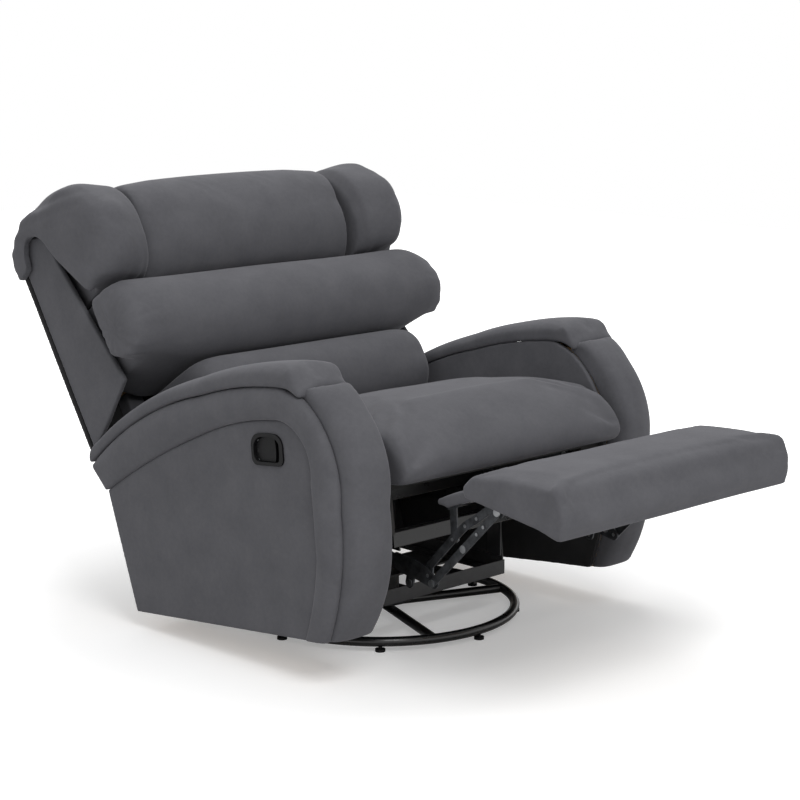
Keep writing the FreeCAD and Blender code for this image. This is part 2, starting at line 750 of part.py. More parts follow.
def flap_profile():
    """Wedge-shaped section, thin at the rear edge."""
    half = FLAP_DEPTH / 2
    low, top = FLAP_UNDERSIDE, FLAP_TOP
    return [
        (-half + 10, low), (24.0, low), (half - 9, -5.0),
        ((half, 1.0), (half - 9, top)),
        ((0.0, top + 2), (-half + 8, top)),
        ((-half, -4.0), (-half + 10, low)),
    ]


def make_flap():
    ends = STRIP_OUTER
    flap = loft(symmetric([
        (0.0, flap_profile()),
        (ends - 6, flap_profile()),
        (ends, drawn_in(flap_profile(), (0.0, FLAP_UNDERSIDE), 0.9)),
    ]))
    return place_flap(flap)


def make_flap_strips():
    centre = (FLAP_CENTRE[0] + FLAP_TAB_PLACE, FLAP_CENTRE[1] + FLAP_UNDERSIDE)
    seat = turn(centre, FLAP_CENTRE, FLAP_TILT)
    strip = bar(STRIP_INNER, STRIP_OUTER, FLAP_FOOT, seat, 9.0)
    strip = strip.cut(rod(STRIP_INNER, STRIP_OUTER, FLAP_FOOT, LINKAGE_PIN_RADIUS + RUNNING_GAP))
    tab = box(STRIP_INNER - 24, STRIP_OUTER, -16, 22, FLAP_UNDERSIDE - FLANGE_THICKNESS, FLAP_UNDERSIDE)
    above = box(0, 400, -60, 60, FLAP_UNDERSIDE, 60)
    return both_sides(fuse([strip.cut(place_flap(above)), place_flap(tab)]))


# Seat

def make_side_boards():
    """Board beside each linkage plate, with packing blocks out to the arm."""
    top = SEAT_BASE - SOFT_GAP - SEAT_RAIL_THICKNESS
    outer = MOUNT_PLATE_OUTER + SIDE_BOARD_THICKNESS
    solids = [box(MOUNT_PLATE_OUTER, outer, SEAT_RAIL_FRONT, SIDE_BOARD_REAR, SIDE_BOARD_BOTTOM, top)]
    last = SIDE_BOARD_REAR - PACKING_LENGTH
    for y in (SEAT_RAIL_FRONT, (SEAT_RAIL_FRONT + last) / 2, last):
        solids.append(box(outer, ARM_INNER, y, y + PACKING_LENGTH, SIDE_BOARD_BOTTOM, top))
    return both_sides(Part.makeCompound(solids))


def make_seat_rails():
    rails = []
    for y in (SEAT_RAIL_FRONT, SEAT_RAIL_REAR):
        top = SEAT_BASE - SOFT_GAP
        rails.append(box(-ARM_INNER, ARM_INNER, y, y + SEAT_RAIL_DEPTH, top - SEAT_RAIL_THICKNESS, top))
    return Part.makeCompound(rails)


def make_seat_springs():
    """Zigzag wire springs from the front rail to the rear rail."""
    height = SEAT_BASE - SOFT_GAP - SEAT_RAIL_THICKNESS / 2
    start = SEAT_RAIL_FRONT + SEAT_RAIL_DEPTH + SPRING_WIRE_RADIUS
    end = SEAT_RAIL_REAR - SPRING_WIRE_RADIUS
    turns = int((end - start) / SPRING_PITCH)
    pitch = (end - start) / turns
    reach = SPRING_HALF_WIDTH - pitch / 2
    springs = []
    for index in range(SPRING_COUNT):
        x = (index - (SPRING_COUNT - 1) / 2) * SPRING_SPACING
        edges = []
        here = V(x, start, height)
        side = 1
        for count in range(turns):
            y = start + count * pitch
            out = V(x + side * reach, y, height)
            edges.append(Part.makeLine(here, out))
            tip = V(x + side * SPRING_HALF_WIDTH, y + pitch / 2, height)
            back = V(x + side * reach, y + pitch, height)
            edges.append(Part.Arc(out, tip, back).toShape())
            here = back
            side = -side
        edges.append(Part.makeLine(here, V(x, end, height)))
        path = Part.Wire(edges)
        ring = Part.Wire(Part.makeCircle(SPRING_WIRE_RADIUS, V(x, start, height), V(1, 0, 0)))
        springs.append(path.makePipeShell([ring], True, False))
    return Part.makeCompound(springs)


def make_seat_cushion():
    def profile(crown):
        return [
            (SEAT_REAR - 12, SEAT_BASE),
            ((SEAT_REAR, 420.0), (SEAT_REAR - 14, 468 + crown)),
            ((-150.0, 501 + crown), (-320.0, SEAT_TOP - 3 + crown)),
            ((-425.0, 478 + crown), (SEAT_FRONT, 405.0)),
            ((SEAT_FRONT + 6, 380.0), (SEAT_FRONT + 34, SEAT_BASE - 5)),
            (SEAT_RAIL_FRONT - 30, SEAT_BASE - 5),
            (SEAT_RAIL_FRONT - 24, SEAT_BASE),
        ]
    centre = (-200.0, SEAT_BASE)
    ends = SEAT_HALF_WIDTH
    return loft(symmetric([
        (0.0, profile(10.0)),
        (ends - 130, profile(7.0)),
        (ends - 30, profile(0.0)),
        (ends - 8, drawn_in(profile(-4.0), centre, 0.985)),
        (ends, drawn_in(profile(-8.0), centre, 0.94)),
    ]))


# Arms, drawn on the +X side

def cap_underside():
    """Seam under the arm's cap, from the rear forwards."""
    return [
        (398.0, 392.0),
        ((210.0, 499.0), (-4.0, 557.0)),
        ((-135.0, 578.0), (-259.0, 582.0)),
        (-310.0, 577.0),
    ]


def lowered(steps, drop):
    return moved(steps, lambda point: (point[0], point[1] - drop))


def front_seam(inset):
    """Front edge from the cap down to the floor side, set back by an inset."""
    return [
        (-322.0 + inset, 560.0),
        ((-388.0 + inset, 480.0), (-406.0 + inset, 340.0)),
        ((-390.0 + inset, 190.0), (-344.0 + inset, ARM_BOTTOM)),
    ]


def arm_profile(inset, drop):
    top = lowered(cap_underside(), drop)
    first, rest = top[0], top[1:]
    rear = [(277.0, ARM_BOTTOM), (346.0, 335.0)]
    corner = (first[0] - drop, first[1])
    return rear + [corner] + rest[:-1] + front_seam(inset)


def panel_profile():
    """Flat side panel inside the curved border."""
    return [
        (277.0, ARM_BOTTOM),
        (346.0, 335.0),
        ((180.0, 411.0), (2.0, 474.0)),
        ((-120.0, 505.0), (-232.0, 515.0)),
        ((-312.0, 486.0), (-337.0, 400.0)),
        (-337.0, 240.0),
        ((-318.0, 157.0), (-285.0, ARM_BOTTOM)),
    ]


def cup_hole(x0, x1, grow=0.0):
    """D-shaped hole for the handle's cup: round above, with a flat lower edge."""
    y, z = CUP_CENTRE
    length = CUP_LENGTH / 2 - CUP_RIM + grow
    height = CUP_HEIGHT / 2 - CUP_RIM + grow
    low, top = z - height, z + height
    front, rear = y - length, y + length
    return slab(
        x0, x1, (front + 16, low), (rear - 16, low),
        ((rear - 4.7, low + 4.7), (rear, low + 16)), (rear, z + 4),
        ((rear - 7, top - 9), (rear - 25, top - 1)),
        ((y, top), (front + 25, top - 1)),
        ((front + 7, top - 9), (front, z + 4)), (front, low + 16),
        ((front + 4.7, low + 4.7), (front + 16, low)),
    )


def in_front_of(x0, x1, y):
    """Block in front of a gently curved upright line through y, by the handle."""
    z = CUP_CENTRE[1]
    return slab(
        x0, x1, (y - 90, z - 44), (y + 10, z - 44), ((y, z), (y + 10, z + 44)), (y - 90, z + 44),
    )


BOARD_OUTER_FACE = ARM_OUTER - ARM_PANEL_THICKNESS
INNER_PANEL_FACE = ARM_INNER + ARM_PANEL_THICKNESS


def make_arm_frame():
    """Two boards held apart by three rails and a front post."""
    profile = arm_profile(ARM_FRONT_PADDING, 8.0)
    inner = slab(INNER_PANEL_FACE, INNER_PANEL_FACE + ARM_BOARD, *profile)
    outer = slab(BOARD_OUTER_FACE - ARM_BOARD, BOARD_OUTER_FACE, *profile)
    x0 = INNER_PANEL_FACE + ARM_BOARD
    x1 = BOARD_OUTER_FACE - ARM_BOARD
    bottom = box(x0, x1, -290, 270, ARM_BOTTOM + 6, ARM_BOTTOM + 36)
    post = box(x0, x1, -330, -295, ARM_BOTTOM + 40, 520)
    top = box(x0, x1, -290, -60, 500, 530)
    back = box(x0, x1, 200, 235, ARM_BOTTOM + 40, 420)
    return Part.makeCompound([inner, outer, bottom, post, top, back])


def make_arm_inner_panel():
    return slab(ARM_INNER, INNER_PANEL_FACE, *arm_profile(ARM_FRONT_PADDING, SOFT_GAP))


def make_arm_side_panel():
    return slab(BOARD_OUTER_FACE, ARM_OUTER, *panel_profile())


def make_arm_border():
    """Padded band round the top and front of the side panel."""
    def section(inset, drop):
        return arm_profile(inset, drop)
    band = loft([
        (BOARD_OUTER_FACE, section(2.0, 1.0)),
        (ARM_OUTER, section(2.0, 1.0)),
        (ARM_BORDER_OUTER, section(10.0, 9.0)),
    ])
    hole = slab(BOARD_OUTER_FACE - 1, ARM_BORDER_OUTER + 1, *panel_profile())
    below = box(BOARD_OUTER_FACE - 1, ARM_BORDER_OUTER + 1, -286, 360, 0, 400)
    below = below.common(slab(
        BOARD_OUTER_FACE - 1, ARM_BORDER_OUTER + 1,
        (-285.0, 0.0), (400.0, 0.0), (400.0, 300.0), (346.0, 335.0), (-285.0, 335.0),
    ))
    return band.cut(hole).cut(below)


def make_arm_front_pad():
    """Padded front face: deepest at mid width and drawn back at both edges."""
    def section(bulge):
        return [
            (-322.0 + ARM_FRONT_PADDING, 560.0),
            (-322.0 - bulge * 0.5, 573.0),
            ((-394.0 - bulge, 484.0), (-406.0 - bulge, 340.0)),
            ((-392.0 - bulge, 190.0), (-344.0 - bulge * 0.4, ARM_BOTTOM)),
            (-344.0 + ARM_FRONT_PADDING, ARM_BOTTOM),
            ((-390.0 + ARM_FRONT_PADDING, 190.0), (-406.0 + ARM_FRONT_PADDING, 340.0)),
            ((-388.0 + ARM_FRONT_PADDING, 480.0), (-322.0 + ARM_FRONT_PADDING, 560.0)),
        ]
    face = BOARD_OUTER_FACE
    return loft([
        (ARM_INNER + 7, section(6.0)),
        (ARM_INNER + 9, section(19.0)),
        (ARM_INNER + 15, section(32.0)),
        (ARM_INNER + 24, section(40.0)),
        (ARM_INNER + 54, section(46.0)),
        (face - 33, section(42.0)),
        (face - 18, section(33.0)),
        (face - 8, section(22.0)),
        (face - 3, section(10.0)),
        (face, section(-4.0)),
    ])


def make_arm_cap():
    """Padded cap along the top of the arm."""
    def section(drop):
        under = cap_underside()
        return under + [
            (-322.0, 575.0),
            ((-335.0 + drop / 2, 588.0 - drop / 4), (-326.0 + drop, 606.0 - drop)),
            ((-310.0, 620.0 - drop), (-280.0, 625.0 - drop)),
            ((-140.0, 620.0 - drop), (14.0, 591.0 - drop)),
            ((225.0, 528.0 - drop), (380.0, 445.0 - drop)),
            ((398.0, 425.0 - drop / 2), (398.0, 392.0)),
        ]
    full = CAP_EDGE_DROP
    return loft([
        (CAP_INNER, section(full)),
        (CAP_INNER + 8, section(full * 0.4)),
        (CAP_INNER + 34, section(0.0)),
        (CAP_OUTER - 34, section(0.0)),
        (CAP_OUTER - 8, section(full * 0.4)),
        (CAP_OUTER, section(full)),
    ])


# Release handle, in the arm on the -X side

PADDLE_PIVOT_Y = CUP_CENTRE[0] + CUP_LENGTH / 2 - CUP_RIM - CUP_WALL - 6.0
PADDLE_PIVOT_X = -ARM_OUTER + 6.0
PADDLE_FACE = PADDLE_PIVOT_X - PADDLE_THICKNESS / 2
PADDLE_BACK = PADDLE_PIVOT_X + PADDLE_THICKNESS / 2


def make_release_cup():
    """Cup let into the arm, with a fixed shelf in front of the finger slot."""
    outer = cup_hole(-ARM_OUTER, -ARM_OUTER + CUP_DEPTH + CUP_WALL)
    hollow = cup_hole(-ARM_OUTER - CUP_RIM, -ARM_OUTER + CUP_DEPTH, -CUP_WALL)
    rim = cup_hole(-ARM_OUTER - CUP_RIM, -ARM_OUTER, CUP_RIM)
    shelf = cup_hole(PADDLE_FACE, PADDLE_FACE + SHELF_THICKNESS, -CUP_WALL)
    edge = in_front_of(PADDLE_FACE, PADDLE_FACE + SHELF_THICKNESS, PADDLE_FRONT - FINGER_SLOT_WIDTH)
    return fuse([fuse([outer, rim]).cut(hollow), shelf.common(edge)])


def make_paddle_pin():
    """Hinge pin across the cup's hollow."""
    place = V(PADDLE_PIVOT_X, PADDLE_PIVOT_Y, CUP_CENTRE[1] - CUP_HEIGHT)
    pin = Part.makeCylinder(PADDLE_PIN_RADIUS, 2 * CUP_HEIGHT, place)
    return pin.common(cup_hole(PADDLE_PIVOT_X - 5, PADDLE_PIVOT_X + 5, -CUP_WALL))


def make_release_paddle():
    """Pull lever in the cup, hinged at its rear edge, with a lip for the fingers."""
    inset = -CUP_WALL - PADDLE_GAP
    plate = cup_hole(PADDLE_FACE, PADDLE_BACK, inset)
    plate = plate.cut(in_front_of(PADDLE_FACE, PADDLE_BACK, PADDLE_FRONT))
    lip = cup_hole(PADDLE_BACK, PADDLE_BACK + 5, inset)
    lip = lip.common(in_front_of(PADDLE_BACK, PADDLE_BACK + 5, PADDLE_FRONT + 5))
    lip = lip.cut(in_front_of(PADDLE_BACK, PADDLE_BACK + 5, PADDLE_FRONT))
    knuckle = Part.makeCylinder(4.0, 8.0, V(PADDLE_PIVOT_X, PADDLE_PIVOT_Y, CUP_CENTRE[1] - 8.0))
    bore_place = V(PADDLE_PIVOT_X, PADDLE_PIVOT_Y, CUP_CENTRE[1] - CUP_HEIGHT / 2)
    bore = Part.makeCylinder(PADDLE_PIN_RADIUS + RUNNING_GAP, CUP_HEIGHT, bore_place)
    return fuse([plate, lip, knuckle]).cut(bore)


# Backrest

def from_back(point):
    """A point (u, n) of the backrest in the body's frame."""
    c = math.cos(math.radians(BACK_ANGLE))
    s = math.sin(math.radians(BACK_ANGLE))
    u, n = point
    return (BACK_ORIGIN[0] + u * s - n * c, BACK_ORIGIN[1] + u * c + n * s)


def back_steps(steps):
    return moved(steps, from_back)


def back_block(x0, x1, u0, u1, n0, n1):
    return slab(x0, x1, *back_steps([(u0, n0), (u1, n0), (u1, n1), (u0, n1)]))


def make_back_frame():
    n0 = BACK_FRAME_REAR
    n1 = n0 + BACK_FRAME_THICKNESS
    n2 = n1 + BACK_RAIL_THICKNESS
    outer = BACK_LOWER_HALF
    stile = back_block(outer - STILE_WIDTH, outer, BACK_BOTTOM, BACK_TOP - 10, n0, n1)
    solids = [stile, mirrored(stile)]
    for u, half in ((BACK_BOTTOM + 5, outer), (100.0, BACK_HALF_WIDTH - 2), (BACK_TOP - 60, BACK_HALF_WIDTH - 2)):
        solids.append(back_block(-half, half, u, u + 50, n1, n2))
    return Part.makeCompound(solids)


def make_back_cover():
    """Black rear cover, narrower where it passes between the arms."""
    n1 = BACK_FRAME_REAR
    upper = back_block(-BACK_HALF_WIDTH, BACK_HALF_WIDTH, 25.0, BACK_TOP, 2.0, n1)
    lower = back_block(-BACK_LOWER_HALF, BACK_LOWER_HALF, BACK_BOTTOM, 25.0, 2.0, n1)
    reach = BACK_HALF_WIDTH + BACK_PANEL_THICKNESS
    rim = back_block(-reach, reach, -20.0, BACK_TOP - 10, 2.0, 2.0 + COVER_THICKNESS)
    return fuse([upper, lower, rim])


def make_back_side_panel():
    x0 = BACK_HALF_WIDTH
    rear = 2.0 + COVER_THICKNESS + SOFT_GAP
    steps = [
        (-20.0, rear), (BACK_TOP - 8, rear), (BACK_TOP - 2, 30.0), (440.0, 112.0), (60.0, 196.0),
        (6.0, 84.0), (-20.0, 14.0),
    ]
    return slab(x0, x0 + BACK_PANEL_THICKNESS, *back_steps(steps))


BACK_PADDING = BACK_FRAME_REAR + BACK_FRAME_THICKNESS + BACK_RAIL_THICKNESS + SOFT_GAP


def make_lumbar_roll():
    base = [
        (-112.0, BACK_PADDING), ((-128.0, 190.0), (-117.0, 316.0)),
        ((-84.0, 348.0), (-35.0, 356.0)), ((15.0, 349.0), (ROLL_SEAM - SEAM_GAP, 300.0)),
        (ROLL_SEAM - SEAM_GAP, BACK_PADDING),
    ]
    centre = (-40.0, BACK_PADDING)
    ends = SEAT_HALF_WIDTH
    return loft(symmetric([
        (0.0, back_steps(base)),
        (ends - 70, back_steps(base)),
        (ends - 34, back_steps(drawn_in(base, centre, 0.975))),
        (ends - 12, back_steps(drawn_in(base, centre, 0.92))),
        (ends - 3, back_steps(drawn_in(base, centre, 0.86))),
        (ends, back_steps(drawn_in(base, centre, 0.81))),
    ]))


def make_middle_roll():
    """Roll across the back: its ends wrap forward of the side panels."""
    def section(rear, front, low, high, lift=0.0):
        return back_steps([
            (low + lift, rear), (low + lift * 0.3, rear + lift), (low, front - 62),
            ((low + 34, front - 12), ((low + high) / 2 - 15, front)),
            ((high - 40, front - 24), (high, front - 88)),
            (high, rear),
        ])
    low = ROLL_SEAM + SEAM_GAP / 2
    high = HEAD_SEAM - SEAM_GAP / 2
    return loft(symmetric([
        (0.0, section(BACK_PADDING, 352.0, low, high, 1.0)),
        (300.0, section(BACK_PADDING, 352.0, low, high, 2.0)),
        (334.0, section(BACK_PADDING, 353.0, low, high, 10.0)),
        (412.0, section(BACK_PADDING, 355.0, low, high, 34.0)),
        (424.0, section(206.0, 354.0, low, high - 2, 34.0)),
        (458.0, section(208.0, 346.0, low + 1, high - 14, 34.0)),
        (470.0, section(214.0, 335.0, low + 4, high - 28, 34.0)),
        (477.0, section(224.0, 318.0, low + 10, high - 48, 30.0)),
    ]))


def dome(grow):
    """Block with the head pillow's domed outline, square to the backrest."""
    side = [(312.0, 240.0), (312.0, 268.0), (309.0, 400.0), (302.0, 500.0), (298.0, 524.0), (290.0, 545.0)]
    right = [V(x + grow, *from_back((u + grow, -30.0))) for x, u in side]
    left = [V(-point.x, point.y, point.z) for point in right]
    crown = V(0, *from_back((600.0 + grow, -30.0)))
    edges = [
        Part.makeLine(left[0], right[0]),
        Part.makeLine(right[0], right[1]),
        Part.Arc(right[1], right[2], right[3]).toShape(),
        Part.Arc(right[3], right[4], right[5]).toShape(),
        Part.Arc(right[5], crown, left[5]).toShape(),
        Part.Arc(left[5], left[4], left[3]).toShape(),
        Part.Arc(left[3], left[2], left[1]).toShape(),
        Part.makeLine(left[1], left[0]),
    ]
    forwards = V(0, *from_back((0.0, 440.0))) - V(0, *from_back((0.0, 0.0)))
    return Part.Face(Part.Wire(edges)).extrude(forwards)


def make_head_pillow():
    base = [
        (HEAD_SEAM + SEAM_GAP / 2, BACK_PADDING), (HEAD_SEAM + SEAM_GAP / 2, 246.0),
        ((330.0, 300.0), (405.0, 308.0)), ((485.0, 290.0), (526.0, 225.0)),
        ((545.0, 130.0), (526.0, 28.0)), ((510.0, 4.0), (BACK_TOP + 4, 2.0)),
        (BACK_TOP + 4, BACK_PADDING),
    ]

    def flatter(drop):
        def change(point):
            u, n = point
            share = max(0.0, min(1.0, (n - BACK_PADDING) / 200))
            return (u - drop * (u > BACK_TOP + 10), n - drop * 2 * share)
        return moved(base, change)
    ends = WING_SEAM
    pillow = loft(symmetric([
        (0.0, back_steps(base)),
        (ends - 110, back_steps(flatter(2.0))),
        (ends - 20, back_steps(flatter(8.0))),
        (ends, back_steps(flatter(16.0))),
    ]))
    return pillow.common(dome(0.0))


def make_wing_lip():
    """Outer side of the wing, which laps over the side panel and its top corner."""
    edge = [
        (262.0, 215.0), (376.0, 150.0), (442.0, 124.0), (466.0, 98.0), (470.0, 50.0), (420.0, 42.0),
        (414.0, 14.0), ((418.0, -8.0), (436.0, -12.0)), (500.0, -12.0), ((520.0, 0.0), (526.0, 30.0)),
        (526.0, 120.0), (480.0, 225.0), (380.0, 262.0), (290.0, 250.0),
    ]
    centre = (450.0, 130.0)
    inner = BACK_HALF_WIDTH + BACK_PANEL_THICKNESS + SOFT_GAP
    return loft([
        (inner, back_steps(edge)),
        (inner + 17, back_steps(drawn_in(edge, centre, 0.99))),
        (inner + 24, back_steps(drawn_in(edge, centre, 0.96))),
        (inner + 27, back_steps(drawn_in(edge, centre, 0.92))),
    ])


def make_wing_pillow():
    """Side pillow round the head pillow's dome, rolled over the back's top edge."""
    def section(rear, front, top, low):
        return back_steps([
            (low, rear), (low, front - 66),
            ((low + 40, front - 14), (low + 96, front)),
            ((top - 46, front - 42), (top - 8, front - 128)),
            ((top, 80.0), (top - 10, 14.0)), ((top - 26, -14.0), (BACK_TOP - 10, -12.0)),
            (BACK_TOP - 10, 1.5), (BACK_TOP + 4, 1.5),
            (BACK_TOP + 4, rear),
        ])
    low = HEAD_SEAM + SEAM_GAP / 2
    pillow = loft([
        (WING_SEAM - 30, section(BACK_PADDING, 288.0, 526.0, low)),
        (WING_SEAM, section(BACK_PADDING, 298.0, 528.0, low)),
        (WING_SEAM + 18, section(BACK_PADDING, 326.0, 531.0, low)),
        (400.0, section(BACK_PADDING, 349.0, 533.0, low)),
        (424.0, section(200.0, 350.0, 532.0, low + 2)),
        (450.0, section(206.0, 334.0, 524.0, low + 12)),
        (462.0, section(218.0, 308.0, 510.0, low + 34)),
    ])
    return fuse([pillow.cut(dome(SEAM_GAP)), make_wing_lip()])


def make_back_brackets():
    """Steel plates on the frame's stiles that reach down to the pivot."""
    x0 = BACK_LOWER_HALF
    x1 = x0 + PLATE
    n_mid = BACK_FRAME_REAR + BACK_FRAME_THICKNESS / 2
    upper = from_back((-20.0, n_mid))
    heel = from_back((BACK_BOTTOM + 20, n_mid))
    plate = fuse([bar(x0, x1, upper, heel, 15.0), bar(x0, x1, heel, BACK_PIVOT, 15.0)])
    return both_sides(plate.cut(rod(x0, x1, BACK_PIVOT, BACK_PIN_RADIUS + RUNNING_GAP)))


def make_back_hinge_plates():
    """Fixed plates on the arms' inner faces, with the pins that carry the back."""
    x1 = ARM_INNER
    x0 = x1 - PLATE
    foot = (BACK_PIVOT[0] - 60, BACK_PIVOT[1] - 50)
    plate = bar(x0, x1, BACK_PIVOT, foot, 16.0)
    pin = rod(BACK_LOWER_HALF - THIN_HEAD, x1, BACK_PIVOT, BACK_PIN_RADIUS)
    return both_sides(fuse([plate, pin]))


def make_rear_panel():
    """Black panel that closes the box behind the seat."""
    panel = slab(
        -ARM_INNER, ARM_INNER, (262.0, 78.0), (274.0, 78.0), (312.0, 262.0), (300.0, 262.0),
    )
    return panel


# Nodes

def build():
    ring = make_ring()
    nodes = {
        "base_ring": ring,
        "base_cross_bars": make_cross_bars(ring),
        "floor_glides": make_floor_glides(ring),
        "hub_plate": make_hub_plate(),
        "bearing_lower_race": make_lower_race(),
        "bearing_balls": make_balls(),
        "swivel_pin": make_swivel_pin(),
        "bearing_upper_race": make_upper_race(),
        "swivel_column": make_column(),
        "glider_centre_plate": make_centre_plate(),
        "glider_side_rails": make_side_rails(),
        "glider_end_rails": make_end_rails(),
        "glider_posts": make_glider_posts(),
        "glide_pins_upper": make_upper_glide_pins(),
        "glide_links_front": make_glide_links(-GLIDE_LINK_Y),
        "glide_links_rear": make_glide_links(GLIDE_LINK_Y),
        "footrest_board": make_footrest_board(),
        "footrest_cushion": make_footrest_cushion(),
        "footrest_brackets": make_footrest_brackets(),
    }
    tilted = {
        "glide_pins_lower": make_lower_glide_pins(),
        "carriage_plates": make_carriage_plates(),
        "carriage_tubes": make_cross_tubes(),
        "linkage_mount_plates": make_mount_plates(),
        "carrier_pivots": make_carrier_pivots(),
        "carrier_plates": make_carriers(),
        "carrier_pins": make_carrier_pins(),
        "outer_links": make_outer_links(),
        "outer_link_rivets": make_outer_link_rivets(),
        "inner_links": make_inner_links(),
        "inner_link_pins": make_inner_link_pins(),
        "footrest_pins": make_footrest_pins(),
        "flap_board": make_flap(),
        "flap_strips": make_flap_strips(),
        "seat_side_boards": make_side_boards(),
        "seat_rails": make_seat_rails(),
        "seat_springs": make_seat_springs(),
        "seat_cushion": make_seat_cushion(),
        "rear_panel": make_rear_panel(),
        "release_cup": make_release_cup(),
        "paddle_pin": make_paddle_pin(),
        "release_paddle": make_release_paddle(),
        "back_frame": make_back_frame(),
        "back_cover": make_back_cover(),
        "lumbar_roll": make_lumbar_roll(),
        "middle_roll": make_middle_roll(),
        "head_pillow": make_head_pillow(),
        "back_brackets": make_back_brackets(),
        "back_hinge_plates": make_back_hinge_plates(),
        "arm_inner_panels": both_sides(make_arm_inner_panel()),
        "arm_borders": both_sides(make_arm_border()),
        "arm_front_pads": both_sides(make_arm_front_pad()),
        "arm_caps": both_sides(make_arm_cap()),
        "back_side_panels": both_sides(make_back_side_panel()),
        "wing_pillows": both_sides(make_wing_pillow()),
    }
    cup_space = cup_hole(-ARM_OUTER - 1, -BOARD_OUTER_FACE + CUP_DEPTH + CUP_WALL)
    for name, make in (("arm_frame", make_arm_frame), ("arm_side_panel", make_arm_side_panel)):
        left = make()
        tilted[name + "_left"] = left
        tilted[name + "_right"] = mirrored(left).cut(cup_space)
    for name, shape in tilted.items():
        nodes[name] = tilt(shape)
    return nodes


def main():
    os.makedirs("parts", exist_ok=True)
    for name, shape in build().items():
        if not shape.isValid():
            print("not valid:", name)
        shape.exportStep("parts/" + name + ".step")
    print("wrote the parts")


main()
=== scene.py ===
# %% [markdown]
# # A swivel glider recliner with its footrest open
# The steel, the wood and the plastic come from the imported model, which is loaded here as a fixed frame.
# Each padded piece is made anew, because foam under cloth swells and creases where a solid is plain.
# %% Load the frame
import json
import math
import bmesh
import bpy
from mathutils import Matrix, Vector, noise


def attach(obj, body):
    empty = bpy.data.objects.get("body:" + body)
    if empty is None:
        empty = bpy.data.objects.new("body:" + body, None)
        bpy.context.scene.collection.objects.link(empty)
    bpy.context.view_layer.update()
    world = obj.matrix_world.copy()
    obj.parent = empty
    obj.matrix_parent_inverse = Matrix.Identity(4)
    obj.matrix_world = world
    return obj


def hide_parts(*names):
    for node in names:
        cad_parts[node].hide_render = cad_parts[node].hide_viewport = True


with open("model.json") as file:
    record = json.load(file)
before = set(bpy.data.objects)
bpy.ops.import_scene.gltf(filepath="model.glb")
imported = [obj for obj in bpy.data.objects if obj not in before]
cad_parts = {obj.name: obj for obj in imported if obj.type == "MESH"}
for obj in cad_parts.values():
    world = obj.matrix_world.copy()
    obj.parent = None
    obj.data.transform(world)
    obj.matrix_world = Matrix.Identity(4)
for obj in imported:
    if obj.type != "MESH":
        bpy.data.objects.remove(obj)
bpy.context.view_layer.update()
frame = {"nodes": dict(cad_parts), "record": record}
print("frame pieces:", len(frame["nodes"]))

# %% [markdown]
# The chair body leans back by 5.8 degrees. A point of the leaning body is easier to think of in its own
# level frame, so small helpers turn points from one to the other. Lengths are in millimetres here.
# %% Places in the leaning body
LEAN = math.radians(5.8)
DROP = 6.0
BACK_ORIGIN = (441.3, 434.8)
BACK_ANGLE = math.radians(27.0)


def from_body(x, y, z):
    """World place in metres of a point in the body's own frame in millimetres."""
    return Vector((
        x, y * math.cos(LEAN) + z * math.sin(LEAN), z * math.cos(LEAN) - y * math.sin(LEAN) - DROP,
    )) / 1000


def to_body(point):
    x, y, z = (value * 1000 for value in point)
    z += DROP
    return x, y * math.cos(LEAN) - z * math.sin(LEAN), z * math.cos(LEAN) + y * math.sin(LEAN)


def to_back(point):
    """Across, up and forward of a point, seen from the backrest's own plane."""
    x, y, z = to_body(point)
    y, z = y - BACK_ORIGIN[0], z - BACK_ORIGIN[1]
    s, c = math.sin(BACK_ANGLE), math.cos(BACK_ANGLE)
    return x, y * s + z * c, z * s - y * c


def from_back(x, up, forward):
    s, c = math.sin(BACK_ANGLE), math.cos(BACK_ANGLE)
    return from_body(
        x, BACK_ORIGIN[0] + up * s - forward * c, BACK_ORIGIN[1] + up * c + forward * s,
    )


# %% [markdown]
# Materials. One small function turns a hex colour, as a paint program shows it, to the linear numbers
# that Blender works with, and one adds a node with its settings and links.
# %% Colour and node helpers
def paint(hex_colour):
    def linear(value):
        value /= 255
        return value / 12.92 if value <= 0.04045 else ((value + 0.055) / 1.055) ** 2.4
    red, green, blue = (int(hex_colour[i:i + 2], 16) for i in (1, 3, 5))
    return (linear(red), linear(green), linear(blue), 1.0)


def add(tree, kind, inputs=(), **settings):
    """Add a shader node: inputs maps a socket to a value or to another node's socket."""
    made = tree.nodes.new(kind)
    for key, value in settings.items():
        setattr(made, key, value)
    for socket, value in dict(inputs).items():
        if isinstance(value, bpy.types.NodeSocket):
            tree.links.new(value, made.inputs[socket])
        else:
            made.inputs[socket].default_value = value
    return made


def new_material(name):
    material = bpy.data.materials.new(name)
    material.use_nodes = True
    tree = material.node_tree
    tree.nodes.clear()
    output = tree.nodes.new("ShaderNodeOutputMaterial")
    shader = tree.nodes.new("ShaderNodeBsdfPrincipled")
    tree.links.new(shader.outputs[0], output.inputs[0])
    place = add(tree, "ShaderNodeTexCoord").outputs["Object"]
    return material, tree, shader, place


def per_mm(size_mm):
    """Noise scale whose blotches are about this many millimetres across."""
    return 1000.0 / size_mm


def ramp(tree, factor, low, high, start=0.3, end=0.7):
    made = add(tree, "ShaderNodeValToRGB", {"Fac": factor})
    made.color_ramp.elements[0].position = start
    made.color_ramp.elements[1].position = end
    made.color_ramp.elements[0].color = low
    made.color_ramp.elements[1].color = high
    return made.outputs["Color"]


def noise_map(tree, place, size_mm, detail=2.0, rough=0.5):
    return add(tree, "ShaderNodeTexNoise", {
        "Vector": place, "Scale": per_mm(size_mm), "Detail": detail, "Roughness": rough,
    }).outputs["Fac"]


